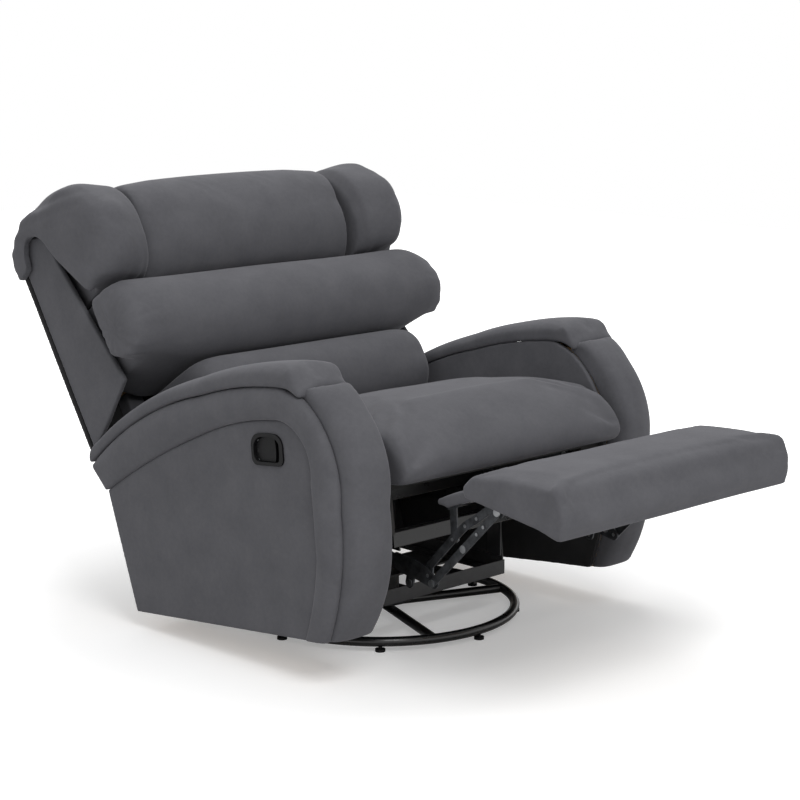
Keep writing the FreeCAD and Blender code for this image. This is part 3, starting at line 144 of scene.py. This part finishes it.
def bump(tree, shader, height, strength, depth_mm, under=None):
    inputs = {"Height": height, "Strength": strength, "Distance": depth_mm / 1000}
    if under is not None:
        inputs["Normal"] = under
    made = add(tree, "ShaderNodeBump", inputs)
    tree.links.new(made.outputs[0], shader.inputs["Normal"])
    return made.outputs[0]


# %% [markdown]
# Microsuede is polyester knit with a brushed nap. The nap leans a little differently from place to
# place, which shows as soft cloudy patches, and its short fibres light up at grazing angles. The fibres
# are finer than a pixel, so their bump is drawn at 1.2 mm.
# %% Microsuede
def make_microsuede():
    material, tree, shader, place = new_material("grey_microsuede_brushed")
    clouds = noise_map(tree, place, 70, 3.0, 0.55)
    streaks = noise_map(tree, place, 9, 4.0, 0.6)
    nap = add(tree, "ShaderNodeMix", {
        "Factor": 0.35, "A": clouds, "B": streaks,
    }, data_type="FLOAT").outputs["Result"]
    colour = ramp(tree, nap, paint("#4f4f53"), paint("#58585c"), 0.34, 0.66)
    tree.links.new(colour, shader.inputs["Base Color"])
    shader.inputs["Roughness"].default_value = 0.88
    shader.inputs["Specular IOR Level"].default_value = 0.25
    shader.inputs["Sheen Weight"].default_value = 0.22
    shader.inputs["Sheen Roughness"].default_value = 0.4
    shader.inputs["Sheen Tint"].default_value = paint("#c4c4ca")
    fibres = noise_map(tree, place, 1.2, 3.0, 0.7)
    under = bump(tree, shader, fibres, 0.35, 0.25)
    bump(tree, shader, noise_map(tree, place, 14, 2.0, 0.5), 0.25, 0.8, under)
    return material


MICROSUEDE = make_microsuede()


# %% [markdown]
# The floor ring, the cross bars and the tubes are powder coated: a thick baked plastic film with a
# faint orange peel. The frame's angles have the same coat in a duller dark grey.
# %% Powder coat
def make_powder_coat(name, dark, light, roughness):
    material, tree, shader, place = new_material(name)
    wear = noise_map(tree, place, 25, 4.0, 0.6)
    tree.links.new(ramp(tree, wear, paint(dark), paint(light)), shader.inputs["Base Color"])
    spread = add(tree, "ShaderNodeMapRange", {
        "Value": wear, "To Min": roughness - 0.06, "To Max": roughness + 0.08,
    })
    tree.links.new(spread.outputs[0], shader.inputs["Roughness"])
    shader.inputs["Coat Weight"].default_value = 0.3
    shader.inputs["Coat Roughness"].default_value = 0.2
    bump(tree, shader, noise_map(tree, place, 2.5, 2.0, 0.5), 0.2, 0.08)
    return material


BLACK_COAT = make_powder_coat("black_powder_coat_baked", "#050506", "#0c0c0d", 0.28)
GREY_COAT = make_powder_coat("dark_grey_powder_coat_baked", "#1c1c1e", "#2a2a2c", 0.40)


# %% [markdown]
# The linkage is pressed from strip steel and zinc plated with a dark passivation. Rolling leaves fine
# streaks along the strip, and handling leaves cloudy patches. Bolts and rivets are plated brighter.
# %% Plated steel
def make_plated_steel(name, dark, light, roughness):
    material, tree, shader, place = new_material(name)
    patches = noise_map(tree, place, 18, 4.0, 0.65)
    tree.links.new(ramp(tree, patches, paint(dark), paint(light), 0.3, 0.7), shader.inputs["Base Color"])
    shader.inputs["Metallic"].default_value = 1.0
    spread = add(tree, "ShaderNodeMapRange", {
        "Value": patches, "To Min": roughness - 0.08, "To Max": roughness + 0.1,
    })
    tree.links.new(spread.outputs[0], shader.inputs["Roughness"])
    stretched = add(tree, "ShaderNodeMapping", {"Vector": place, "Scale": (1.0, 0.15, 1.0)})
    bump(tree, shader, noise_map(tree, stretched.outputs[0], 1.5, 2.0, 0.6), 0.15, 0.05)
    return material


GUNMETAL = make_plated_steel("zinc_plated_steel_dark_passivated", "#37383a", "#55575a", 0.46)
BOLT_ZINC = make_plated_steel("zinc_plated_steel_bright", "#7d7f82", "#a9abad", 0.34)
SPRING_STEEL = make_plated_steel("drawn_spring_steel_oiled", "#3f4042", "#66686a", 0.35)


# %% [markdown]
# The handle cup, its paddle and the floor glides are moulded polypropylene with a spark-eroded grain.
# %% Moulded plastic
def make_plastic():
    material, tree, shader, place = new_material("black_polypropylene_moulded")
    grain = noise_map(tree, place, 0.9, 2.0, 0.6)
    tree.links.new(
        ramp(tree, noise_map(tree, place, 30), paint("#0a0a0b"), paint("#101012")),
        shader.inputs["Base Color"],
    )
    shader.inputs["Roughness"].default_value = 0.5
    shader.inputs["Specular IOR Level"].default_value = 0.22
    bump(tree, shader, grain, 0.25, 0.06)
    return material


BLACK_PLASTIC = make_plastic()


# %% [markdown]
# The hidden boards are birch plywood, and pine stained black where the seat's underside can be seen.
# The grain is noise that is stretched along the board.
# %% Wood
def make_wood(name, dark, light, stretch):
    material, tree, shader, place = new_material(name)
    grain_place = add(tree, "ShaderNodeMapping", {"Vector": place, "Scale": stretch})
    grain = noise_map(tree, grain_place.outputs[0], 4, 5.0, 0.6)
    tree.links.new(ramp(tree, grain, paint(dark), paint(light), 0.25, 0.75), shader.inputs["Base Color"])
    shader.inputs["Roughness"].default_value = 0.7
    bump(tree, shader, grain, 0.3, 0.15)
    return material


PLYWOOD = make_wood("birch_plywood_sanded", "#8a6a45", "#c8a678", (0.08, 1.0, 1.0))
BLACK_WOOD = make_wood("pine_stained_black", "#0b0a09", "#161412", (1.0, 0.07, 1.0))


# %% [markdown]
# The dust cover is spunbond polypropylene cloth, embossed with a dot every 3 mm where it was bonded.
# %% Dust cover cloth
def make_dust_cloth():
    material, tree, shader, place = new_material("black_spunbond_cloth_embossed")
    dots = add(tree, "ShaderNodeTexVoronoi", {
        "Vector": place, "Scale": per_mm(3.0), "Randomness": 0.15,
    }).outputs["Distance"]
    tree.links.new(
        ramp(tree, noise_map(tree, place, 40, 3.0), paint("#121213"), paint("#1d1d1f")),
        shader.inputs["Base Color"],
    )
    shader.inputs["Roughness"].default_value = 0.85
    bump(tree, shader, dots, 0.5, 0.3)
    return material


DUST_CLOTH = make_dust_cloth()

# %% [markdown]
# Every frame piece gets the finish of the real one. A piece that a padded cover hides later still gets
# one, so that nothing is left bare.
# %% Dress the frame
FINISHES = {
    "powder_coat": BLACK_COAT, "frame_steel": GREY_COAT, "zinc_steel": GUNMETAL, "bolt_zinc": BOLT_ZINC,
    "spring_wire": SPRING_STEEL, "black_plastic": BLACK_PLASTIC, "plywood": PLYWOOD, "black_wood": BLACK_WOOD,
    "dust_cover": DUST_CLOTH, "microsuede": MICROSUEDE,
}
for entry in frame["record"]["subparts"]:
    piece = frame["nodes"][entry["node"]]
    for slot in piece.material_slots:
        slot.material = FINISHES[entry["material_slot"]]

# %% [markdown]
# Padded pieces. Each starts as a copy of its frame solid, merged and rebuilt as even quads by a voxel
# remesh. The copy is drawn in a little, and cloth with air pressure inside then swells it, as foam does
# under a tight cover. The faces that lie against a neighbour are held, which leaves a valley at each
# seam, and a cap keeps every point near where it began. Gravity is off, because foam holds its shape.
# %% Cushion helpers
def copy_of(name, *nodes):
    """A new object holding merged copies of frame nodes."""
    mesh = bpy.data.meshes.new(name)
    joined = bmesh.new()
    for node_name in nodes:
        source = frame["nodes"][node_name]
        part = source.data.copy()
        part.transform(source.matrix_world)
        joined.from_mesh(part)
        bpy.data.meshes.remove(part)
    bmesh.ops.remove_doubles(joined, verts=joined.verts, dist=0.00002)
    joined.to_mesh(mesh)
    joined.free()
    mesh.materials.clear()
    made = bpy.data.objects.new(name, mesh)
    bpy.context.collection.objects.link(made)
    return made


def only(piece):
    bpy.ops.object.select_all(action="DESELECT")
    piece.select_set(True)
    bpy.context.view_layer.objects.active = piece


def keep_half(piece, side):
    """Keep the solids of a mirrored pair on one side of the chair."""
    mesh = bmesh.new()
    mesh.from_mesh(piece.data)
    away = [v for v in mesh.verts if v.co.x * side < 0]
    bmesh.ops.delete(mesh, geom=away, context="VERTS")
    mesh.to_mesh(piece.data)
    mesh.free()


def remesh(piece, voxel_mm):
    only(piece)
    piece.data.remesh_voxel_size = voxel_mm / 1000
    piece.data.remesh_voxel_adaptivity = 0
    bpy.ops.object.voxel_remesh()


def apply_all(piece):
    only(piece)
    for modifier in list(piece.modifiers):
        bpy.ops.object.modifier_apply(modifier=modifier.name)


def smooth(piece, factor, times):
    even_out = piece.modifiers.new("even_out", "SMOOTH")
    even_out.factor = factor
    even_out.iterations = times
    apply_all(piece)


def draw_in(piece, depth_mm):
    """Shrink a closed piece by moving its surface inwards."""
    inwards = piece.modifiers.new("inwards", "DISPLACE")
    inwards.strength = -depth_mm / 1000
    inwards.mid_level = 0
    apply_all(piece)


def subdivide(piece):
    finer = piece.modifiers.new("finer", "SUBSURF")
    finer.levels = 1
    finer.render_levels = 1
    apply_all(piece)


SWELL_FRAMES = 20
HELD_BELOW = 0.12


def swell(piece, facing, pressure, cap_mm):
    """Blow the cover up on the side that faces a direction, and cap how far it may move."""
    start = [v.co.copy() for v in piece.data.vertices]
    facing = facing.normalized()
    held = piece.vertex_groups.new(name="held")
    held.add([v.index for v in piece.data.vertices if v.normal.dot(facing) < HELD_BELOW], 1.0, "REPLACE")
    cloth = piece.modifiers.new("cover", "CLOTH")
    settings = cloth.settings
    settings.quality = 4
    settings.mass = 0.3
    settings.use_pressure = True
    settings.uniform_pressure_force = pressure
    settings.tension_stiffness = 12
    settings.compression_stiffness = 12
    settings.shear_stiffness = 5
    settings.bending_stiffness = 0.3
    settings.effector_weights.gravity = 0
    settings.vertex_group_mass = "held"
    cloth.collision_settings.use_collision = False
    cloth.point_cache.frame_start = 1
    cloth.point_cache.frame_end = SWELL_FRAMES
    for step in range(1, SWELL_FRAMES + 1):
        bpy.context.scene.frame_set(step)
    apply_all(piece)
    bpy.context.scene.frame_set(1)
    cap = cap_mm / 1000
    moved = 0.0
    for vertex, was in zip(piece.data.vertices, start):
        step = vertex.co - was
        if step.length > cap:
            vertex.co = was + step * (cap / step.length)
        moved = max(moved, (vertex.co - was).length)
    piece.vertex_groups.clear()
    print(piece.name, "swelled by up to", round(moved * 1000), "mm")


# %% [markdown]
# Creases come after the remesh, as moves of the points themselves: gathers are a fan of shallow folds
# that fade away from the seam they start at, and slack is a slow random wave of a millimetre or two,
# because no hand-filled cushion is a perfect surface. A larger move, such as a rounded nose, is written
# in the coordinates of the body or of the back.
# %% Crease helpers
def shape_points(piece, change):
    """Move each point along its normal by what change(point, normal) gives in millimetres."""
    normals = [v.normal.copy() for v in piece.data.vertices]
    for vertex, normal in zip(piece.data.vertices, normals):
        step = change(vertex.co, normal)
        if step:
            vertex.co += normal * (step / 1000)
    piece.data.update()


def ease(value, start, end):
    """0 at the start, 1 at the end, smooth between them."""
    share = max(0.0, min(1.0, (value - start) / (end - start)))
    return share * share * (3 - 2 * share)


def reshape(piece, to_place, from_place, change):
    """Move points in the coordinates of the leaning body or of the back."""
    for vertex in piece.data.vertices:
        vertex.co = from_place(*change(*to_place(vertex.co)))
    piece.data.update()


def slack(piece, size_mm, depth_mm, seed, stretch=(1.0, 1.0, 1.0)):
    """Slow waves, longer along one axis where the cloth is pulled."""
    def change(point, normal):
        place = Vector(value * grow for value, grow in zip(point, stretch)) * (1000 / size_mm)
        return depth_mm * noise.noise(place + Vector((seed, seed * 0.37, 0)))
    shape_points(piece, change)


def near(value, centre, reach):
    """1 at the centre, fading smoothly to 0 at the reach."""
    share = max(0.0, 1.0 - abs(value - centre) / reach)
    return share * share * (3 - 2 * share)


def finish_pad(piece, node_names, body, material=MICROSUEDE):
    only(piece)
    bpy.ops.object.shade_smooth()
    piece.data.materials.clear()
    piece.data.materials.append(material)
    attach(piece, body)
    if node_names:
        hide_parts(*node_names)
    print(piece.name, len(piece.data.polygons), "faces")


def line_and_shade_inside(piece, material, chosen):
    """Second material on the faces that a test picks, here the black cloth that is partly a lining and partly
    painted shade.
    """
    piece.data.materials.append(material)
    for face in piece.data.polygons:
        if chosen(face.center, face.normal):
            face.material_index = 1


# %% [markdown]
# The seat is one thick pad over springs. It swells upwards and forwards, and its front edge rolls down
# over the rail.
# %% Seat pad
UP = Vector((0, 0, 1))
AHEAD = Vector((0, -1, 0))

seat = copy_of("seat_pad", "seat_cushion")
remesh(seat, 9)
smooth(seat, 0.5, 5)
draw_in(seat, 4)
swell(seat, UP + AHEAD * 0.7, 2.5, 14)
smooth(seat, 0.5, 4)
slack(seat, 190, 1.6, 3.1)
subdivide(seat)
finish_pad(seat, ["seat_cushion"], "chair")

# %% [markdown]
# The lumbar roll, the middle roll and the head pillow are channels of one blown-fibre back cover. Each is
# fullest in the middle of its height. The middle roll is the widest: its ends come forward past the side
# panels and are gathered there, like the ends of a bolster.
# %% Back rolls
BACK_FACING = from_back(0, 0, 1) - from_back(0, 0, 0)
ROLL_AXIS_UP = 152.0
ROLL_AXIS_OUT = 262.0
ROLL_END = 478.0
ROLL_END_LIFT = 24.0
GATHER_REACH = 62.0
GATHER_DEPTH = 1.3
GATHERS_ROUND_END = 13


def roll_gathers(point, normal):
    x, up, out = to_back(point)
    fade = near(abs(x), ROLL_END, GATHER_REACH)
    if fade == 0.0:
        return 0.0
    angle = math.atan2(up - ROLL_AXIS_UP, out - ROLL_AXIS_OUT)
    fold = math.sin(angle * GATHERS_ROUND_END + 2.0 * noise.noise(point * 9))
    return GATHER_DEPTH * fade * (fold * (0.6 + 0.4 * math.sin(angle * 5)))


def lifted_roll_ends(x, up, out):
    """The roll is sewn shorter at its ends, so that its lower corners rise."""
    below = max(0.0, min(1.0, (ROLL_AXIS_UP + 10 - up) / 60.0))
    return x, up + ROLL_END_LIFT * ease(abs(x), 300.0, 460.0) * below, out


def channel(name, node_name, cap_mm, seed):
    pad = copy_of(name, node_name)
    remesh(pad, 9)
    smooth(pad, 0.5, 5)
    draw_in(pad, 4)
    swell(pad, BACK_FACING, 3.0, cap_mm)
    smooth(pad, 0.5, 3)
    slack(pad, 170, 2.2, seed, (0.5, 1.0, 1.0))
    return pad


lumbar = channel("lumbar_pad", "lumbar_roll", 12, 1.7)
subdivide(lumbar)
finish_pad(lumbar, ["lumbar_roll"], "backrest")
middle = channel("middle_pad", "middle_roll", 12, 5.2)
reshape(middle, to_back, from_back, lifted_roll_ends)
subdivide(middle)
shape_points(middle, roll_gathers)
finish_pad(middle, ["middle_roll"], "backrest")
head = channel("head_pad", "head_pillow", 13, 8.4)
subdivide(head)
finish_pad(head, ["head_pillow"], "backrest")

# %% [markdown]
# The wings are two fuller pillows beside the head pillow. They roll over the back's top edge, where the
# cover is pulled tight into a lip, and their tops run as an arch from that lip to the front.
# %% Wings
LIP_DROP = 44.0
CROWN_LIFT = 6.0
FRONT_DROP = 20.0
WING_LOW_CORNER = (330.0, 268.0)
WING_HIGH_CORNER = (455.0, 500.0)


def arched_wing(x, up, out):
    outer = ease(abs(x), 325.0, 420.0) * ease(up, 390.0, 480.0)
    lip = LIP_DROP * (1 - ease(out, -10.0, 85.0))
    arch = CROWN_LIFT * near(out, 190.0, 90.0) - lip - FRONT_DROP * ease(out, 245.0, 330.0)
    return x, up + arch * outer, out


def wing_gathers(point, normal):
    """Short folds that fan out from the corner where wing, head and roll are sewn together."""
    x, up, out = to_back(point)
    low = near(up, WING_LOW_CORNER[1], 70.0) * near(abs(x), WING_LOW_CORNER[0], 110.0)
    high = near(up, WING_HIGH_CORNER[1], 80.0) * near(abs(x), WING_HIGH_CORNER[0], 70.0)
    folds = math.sin(x * 0.16 + up * 0.03 + 1.5 * noise.noise(point * 8))
    return 1.8 * low * folds + 1.5 * high * math.sin(up * 0.19 + out * 0.05)


for side, word in ((1, "left"), (-1, "right")):
    wing = copy_of("wing_pad_" + word, "wing_pillows")
    keep_half(wing, side)
    remesh(wing, 8)
    smooth(wing, 0.5, 6)
    draw_in(wing, 4)
    swell(wing, BACK_FACING + Vector((side * 0.5, 0, 0.5)), 3.0, 13)
    smooth(wing, 0.5, 3)
    reshape(wing, to_back, from_back, arched_wing)
    slack(wing, 110, 2.4, 2.0 + side)
    subdivide(wing)
    shape_points(wing, wing_gathers)
    finish_pad(wing, [], "backrest")
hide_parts("wing_pillows")

# %% [markdown]
# The footrest is a firm pad on a board with crisper corners than the back, so it is remeshed finer and
# smoothed less. The filler flap behind it is a thin padded board.
# %% Footrest and flap
footrest = copy_of("footrest_pad", "footrest_cushion")
remesh(footrest, 6)
smooth(footrest, 0.5, 2)
draw_in(footrest, 2)
swell(footrest, UP + AHEAD * 0.4, 3.0, 7)
smooth(footrest, 0.5, 1)
slack(footrest, 200, 1.6, 6.6)
finish_pad(footrest, ["footrest_cushion"], "footrest")

flap = copy_of("flap_pad", "flap_board")
remesh(flap, 5)
smooth(flap, 0.5, 3)
finish_pad(flap, ["flap_board"], "flap")

# %% [markdown]
# Each arm is a box with a padded cap, a padded front that bulges forward, and a flat side panel inside a
# padded border. The pieces stay separate, because the dark lines between them are the real seams.
# Below the seat the arm's inner face and the inner side of its front pad get the same black cloth as the
# underside. On the inner face it is partly a black lining and partly painted shade of the seat well. On the
# front pad it is painted shade.
# %% Arms
LINING_AND_SHADE_TOP = 372.0
LINING_AND_SHADE_OUTER = 352.0
NOSE_START = 262.0
NOSE_TIP = 336.0
NOSE_DROP = 15.0
NOSE_DRAWN_BACK = 5.0
PAD_TOP_SWELL = 10.0


# Picks the faces in the seat well that get the black cloth, which is partly lining and partly painted shade.
def in_seat_well(place, normal):
    x, y, z = to_body(place)
    return z < LINING_AND_SHADE_TOP and abs(x) < LINING_AND_SHADE_OUTER


def rounded_nose(x, y, z):
    """The cap's front end is drawn down and back by its seam."""
    forward = ease(-y, NOSE_START, NOSE_TIP)
    return x, y + NOSE_DRAWN_BACK * forward, z - NOSE_DROP * forward * forward


def meet_the_cap(piece):
    """The front pad's top swells up against the cap's underside."""
    top = max(to_body(v.co)[2] for v in piece.data.vertices)

    def change(point, normal):
        return PAD_TOP_SWELL * near(to_body(point)[2], top, 55.0) * max(0.0, normal.z)
    shape_points(piece, change)


ARM_PIECES = (
    ("arm_cap_pad", "arm_caps", 6, 8, 0.85, 1.6),
    ("arm_front_cover", "arm_front_pads", 6, 8, 0.85, 1.2),
    ("arm_border_cover", "arm_borders", 5, 4, 0.9, 0.5),
    ("arm_inner_cover", "arm_inner_panels", 5, 3, 0.9, 0.8),
)
for name, node_name, voxel, rounds, fill, waves in ARM_PIECES:
    for side, word in ((1, "left"), (-1, "right")):
        pad = copy_of(name + "_" + word, node_name)
        keep_half(pad, side)
        remesh(pad, voxel)
        smooth(pad, 0.5, rounds)
        if name == "arm_border_cover":
            swell(pad, Vector((side, 0, 0)), 6.0, 9)
            smooth(pad, 0.5, 3)
        if name == "arm_cap_pad":
            swell(pad, UP, 3.0, 6)
            reshape(pad, to_body, from_body, rounded_nose)
        if name == "arm_front_cover":
            meet_the_cap(pad)
        slack(pad, 130, waves, side * 4.0)
        finish_pad(pad, [], "chair")
        # Black cloth painted in as the shade of the seat well. On the inner panel it is partly a real lining
        # too.
        if name in ("arm_inner_cover", "arm_front_cover"):
            line_and_shade_inside(pad, DUST_CLOTH, in_seat_well)
    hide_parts(node_name)
for word in ("left", "right"):
    pad = copy_of("arm_side_cover_" + word, "arm_side_panel_" + word)
    remesh(pad, 4)
    smooth(pad, 0.5, 2)
    finish_pad(pad, ["arm_side_panel_" + word], "chair")

# %% [markdown]
# The back's sides are covered in the seat's cloth over thin wadding, and its rear in black cloth that is
# stapled tight to the frame, as is the panel that closes the box behind the seat.
# %% Back covers
CORNER_LIFT = 18.0
RIM_WRAP = 5.0


def raised_corner(x, up, out):
    """The side panel's top is tucked up under the wing."""
    return x, up + CORNER_LIFT * ease(up, 380.0, 450.0), out


def wrapped_rim(x, up, out):
    """The rear cover is wrapped round the sides as a dark edge."""
    side = 1 if x > 0 else -1
    rim = ease(abs(x), 405.0, 425.0)
    return x + side * RIM_WRAP * rim, up, out - RIM_WRAP * rim


for side, word in ((1, "left"), (-1, "right")):
    pad = copy_of("back_side_cover_" + word, "back_side_panels")
    keep_half(pad, side)
    remesh(pad, 5)
    smooth(pad, 0.5, 3)
    reshape(pad, to_back, from_back, raised_corner)
    slack(pad, 120, 1.2, side * 7.0)
    finish_pad(pad, [], "backrest")
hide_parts("back_side_panels")
for name, node_name, body in (
    ("back_cover_cloth", "back_cover", "backrest"), ("rear_panel_cloth", "rear_panel", "chair"),
):
    pad = copy_of(name, node_name)
    remesh(pad, 5)
    smooth(pad, 0.5, 2)
    if name == "back_cover_cloth":
        reshape(pad, to_back, from_back, wrapped_rim)
    slack(pad, 180, 1.5, 9.0)
    finish_pad(pad, [node_name], body, DUST_CLOTH)


# %% [markdown]
# The lower ends of the back's stiles pass between the arms. The same cloth is wrapped round them, so
# each gets a sleeve: a box added at its place, its long edges rounded with the bevel operator.
# %% Stile sleeves
SLEEVE_INNER = 294.0
SLEEVE_WIDTH = 43.2
SLEEVE_BOTTOM = -117.5
SLEEVE_LENGTH = 200
SLEEVE_REAR = 12.5
SLEEVE_DEPTH = 39


def add_sleeve(word, side):
    bpy.ops.object.select_all(action="DESELECT")
    bpy.ops.mesh.primitive_cube_add(size=1, location=(0, 0, 0))
    sleeve = bpy.context.active_object
    sleeve.name = "back_stile_sleeve_" + word
    bpy.ops.object.mode_set(mode="EDIT")
    bpy.ops.mesh.select_all(action="SELECT")
    bpy.ops.mesh.subdivide(number_cuts=5)
    bpy.ops.object.mode_set(mode="OBJECT")
    for vertex in sleeve.data.vertices:
        share = vertex.co + Vector((0.5, 0.5, 0.5))
        across = side * (SLEEVE_INNER + share.x * SLEEVE_WIDTH)
        vertex.co = from_back(
            across, SLEEVE_BOTTOM + share.z * SLEEVE_LENGTH, SLEEVE_REAR + share.y * SLEEVE_DEPTH,
        )
    only(sleeve)
    bpy.ops.object.mode_set(mode="EDIT")
    bpy.ops.mesh.select_all(action="SELECT")
    bpy.ops.mesh.normals_make_consistent(inside=False)
    bpy.ops.object.mode_set(mode="OBJECT")
    rounding = sleeve.modifiers.new("rounding", "BEVEL")
    rounding.width = 0.003
    rounding.segments = 2
    apply_all(sleeve)
    finish_pad(sleeve, [], "backrest")


add_sleeve("left", 1)
add_sleeve("right", -1)

# %% [markdown]
# The studio: a pale floor that fades into white surroundings, one large key lamp in front, one weak fill
# on the left and one wide lamp above. The camera stands where the photographer stood.
# %% Studio
def make_world():
    world = bpy.data.worlds.new("white_studio")
    bpy.context.scene.world = world
    world.use_nodes = True
    tree = world.node_tree
    tree.nodes.clear()
    rays = add(tree, "ShaderNodeLightPath")
    seen = add(tree, "ShaderNodeMath", {
        0: rays.outputs["Is Camera Ray"], 1: rays.outputs["Is Glossy Ray"],
    }, operation="MAXIMUM")
    seen = add(tree, "ShaderNodeMath", {
        0: seen.outputs[0], 1: rays.outputs["Is Transmission Ray"],
    }, operation="MAXIMUM")
    soft = add(tree, "ShaderNodeBackground", {"Color": (1, 1, 1, 1), "Strength": 0.5})
    white = add(tree, "ShaderNodeBackground", {"Color": (1, 1, 1, 1), "Strength": 1.0})
    mix = add(tree, "ShaderNodeMixShader", {
        0: seen.outputs[0], 1: soft.outputs[0], 2: white.outputs[0],
    })
    add(tree, "ShaderNodeOutputWorld", {"Surface": mix.outputs[0]})


def make_floor():
    bpy.ops.mesh.primitive_plane_add(size=14, location=(0, 1, 0))
    floor = bpy.context.active_object
    floor.name = "studio_floor"
    bpy.ops.object.transform_apply(location=True, rotation=True, scale=True)
    material, tree, shader, place = new_material("floor_paint_matt_white")
    shader.inputs["Base Color"].default_value = paint("#e9e9e9")
    shader.inputs["Roughness"].default_value = 0.9
    shader.inputs["Emission Color"].default_value = (1, 1, 1, 1)
    away = add(tree, "ShaderNodeVectorMath", {0: place}, operation="LENGTH").outputs["Value"]
    glow = add(tree, "ShaderNodeMapRange", {
        "Value": away, "From Min": 0.7, "From Max": 2.2, "To Min": 0.30, "To Max": 1.0,
    })
    seen = add(tree, "ShaderNodeLightPath").outputs["Is Camera Ray"]
    shown = add(tree, "ShaderNodeMath", {0: glow.outputs[0], 1: seen}, operation="MULTIPLY")
    tree.links.new(shown.outputs[0], shader.inputs["Emission Strength"])
    floor.data.materials.append(material)


def add_lamp(name, place, aim, size, watts):
    data = bpy.data.lights.new(name, "AREA")
    data.shape = "SQUARE"
    data.size = size
    data.energy = watts
    lamp = bpy.data.objects.new(name, data)
    bpy.context.collection.objects.link(lamp)
    lamp.location = place
    lamp.rotation_euler = (Vector(aim) - Vector(place)).to_track_quat("-Z", "Y").to_euler()


def make_camera():
    data = bpy.data.cameras.new("camera")
    data.lens = 96.9
    data.sensor_width = 36
    camera = bpy.data.objects.new("camera", data)
    bpy.context.collection.objects.link(camera)
    camera.location = (-3.23, -3.377, 1.380)
    camera.rotation_euler = (math.radians(90 - 10.86), 0, math.radians(-44.24))
    bpy.context.scene.camera = camera


make_world()
make_floor()
make_camera()
add_lamp("key_lamp", (-1.2, -3.0, 3.4), (0, 0, 0.5), 2.2, 95)
add_lamp("fill_lamp", (-3.4, 0.4, 1.8), (0, 0, 0.5), 2.2, 11)
add_lamp("top_lamp", (0.8, 1.4, 3.6), (0, 0, 0.6), 2.6, 52)
bpy.context.scene.view_settings.view_transform = "Standard"
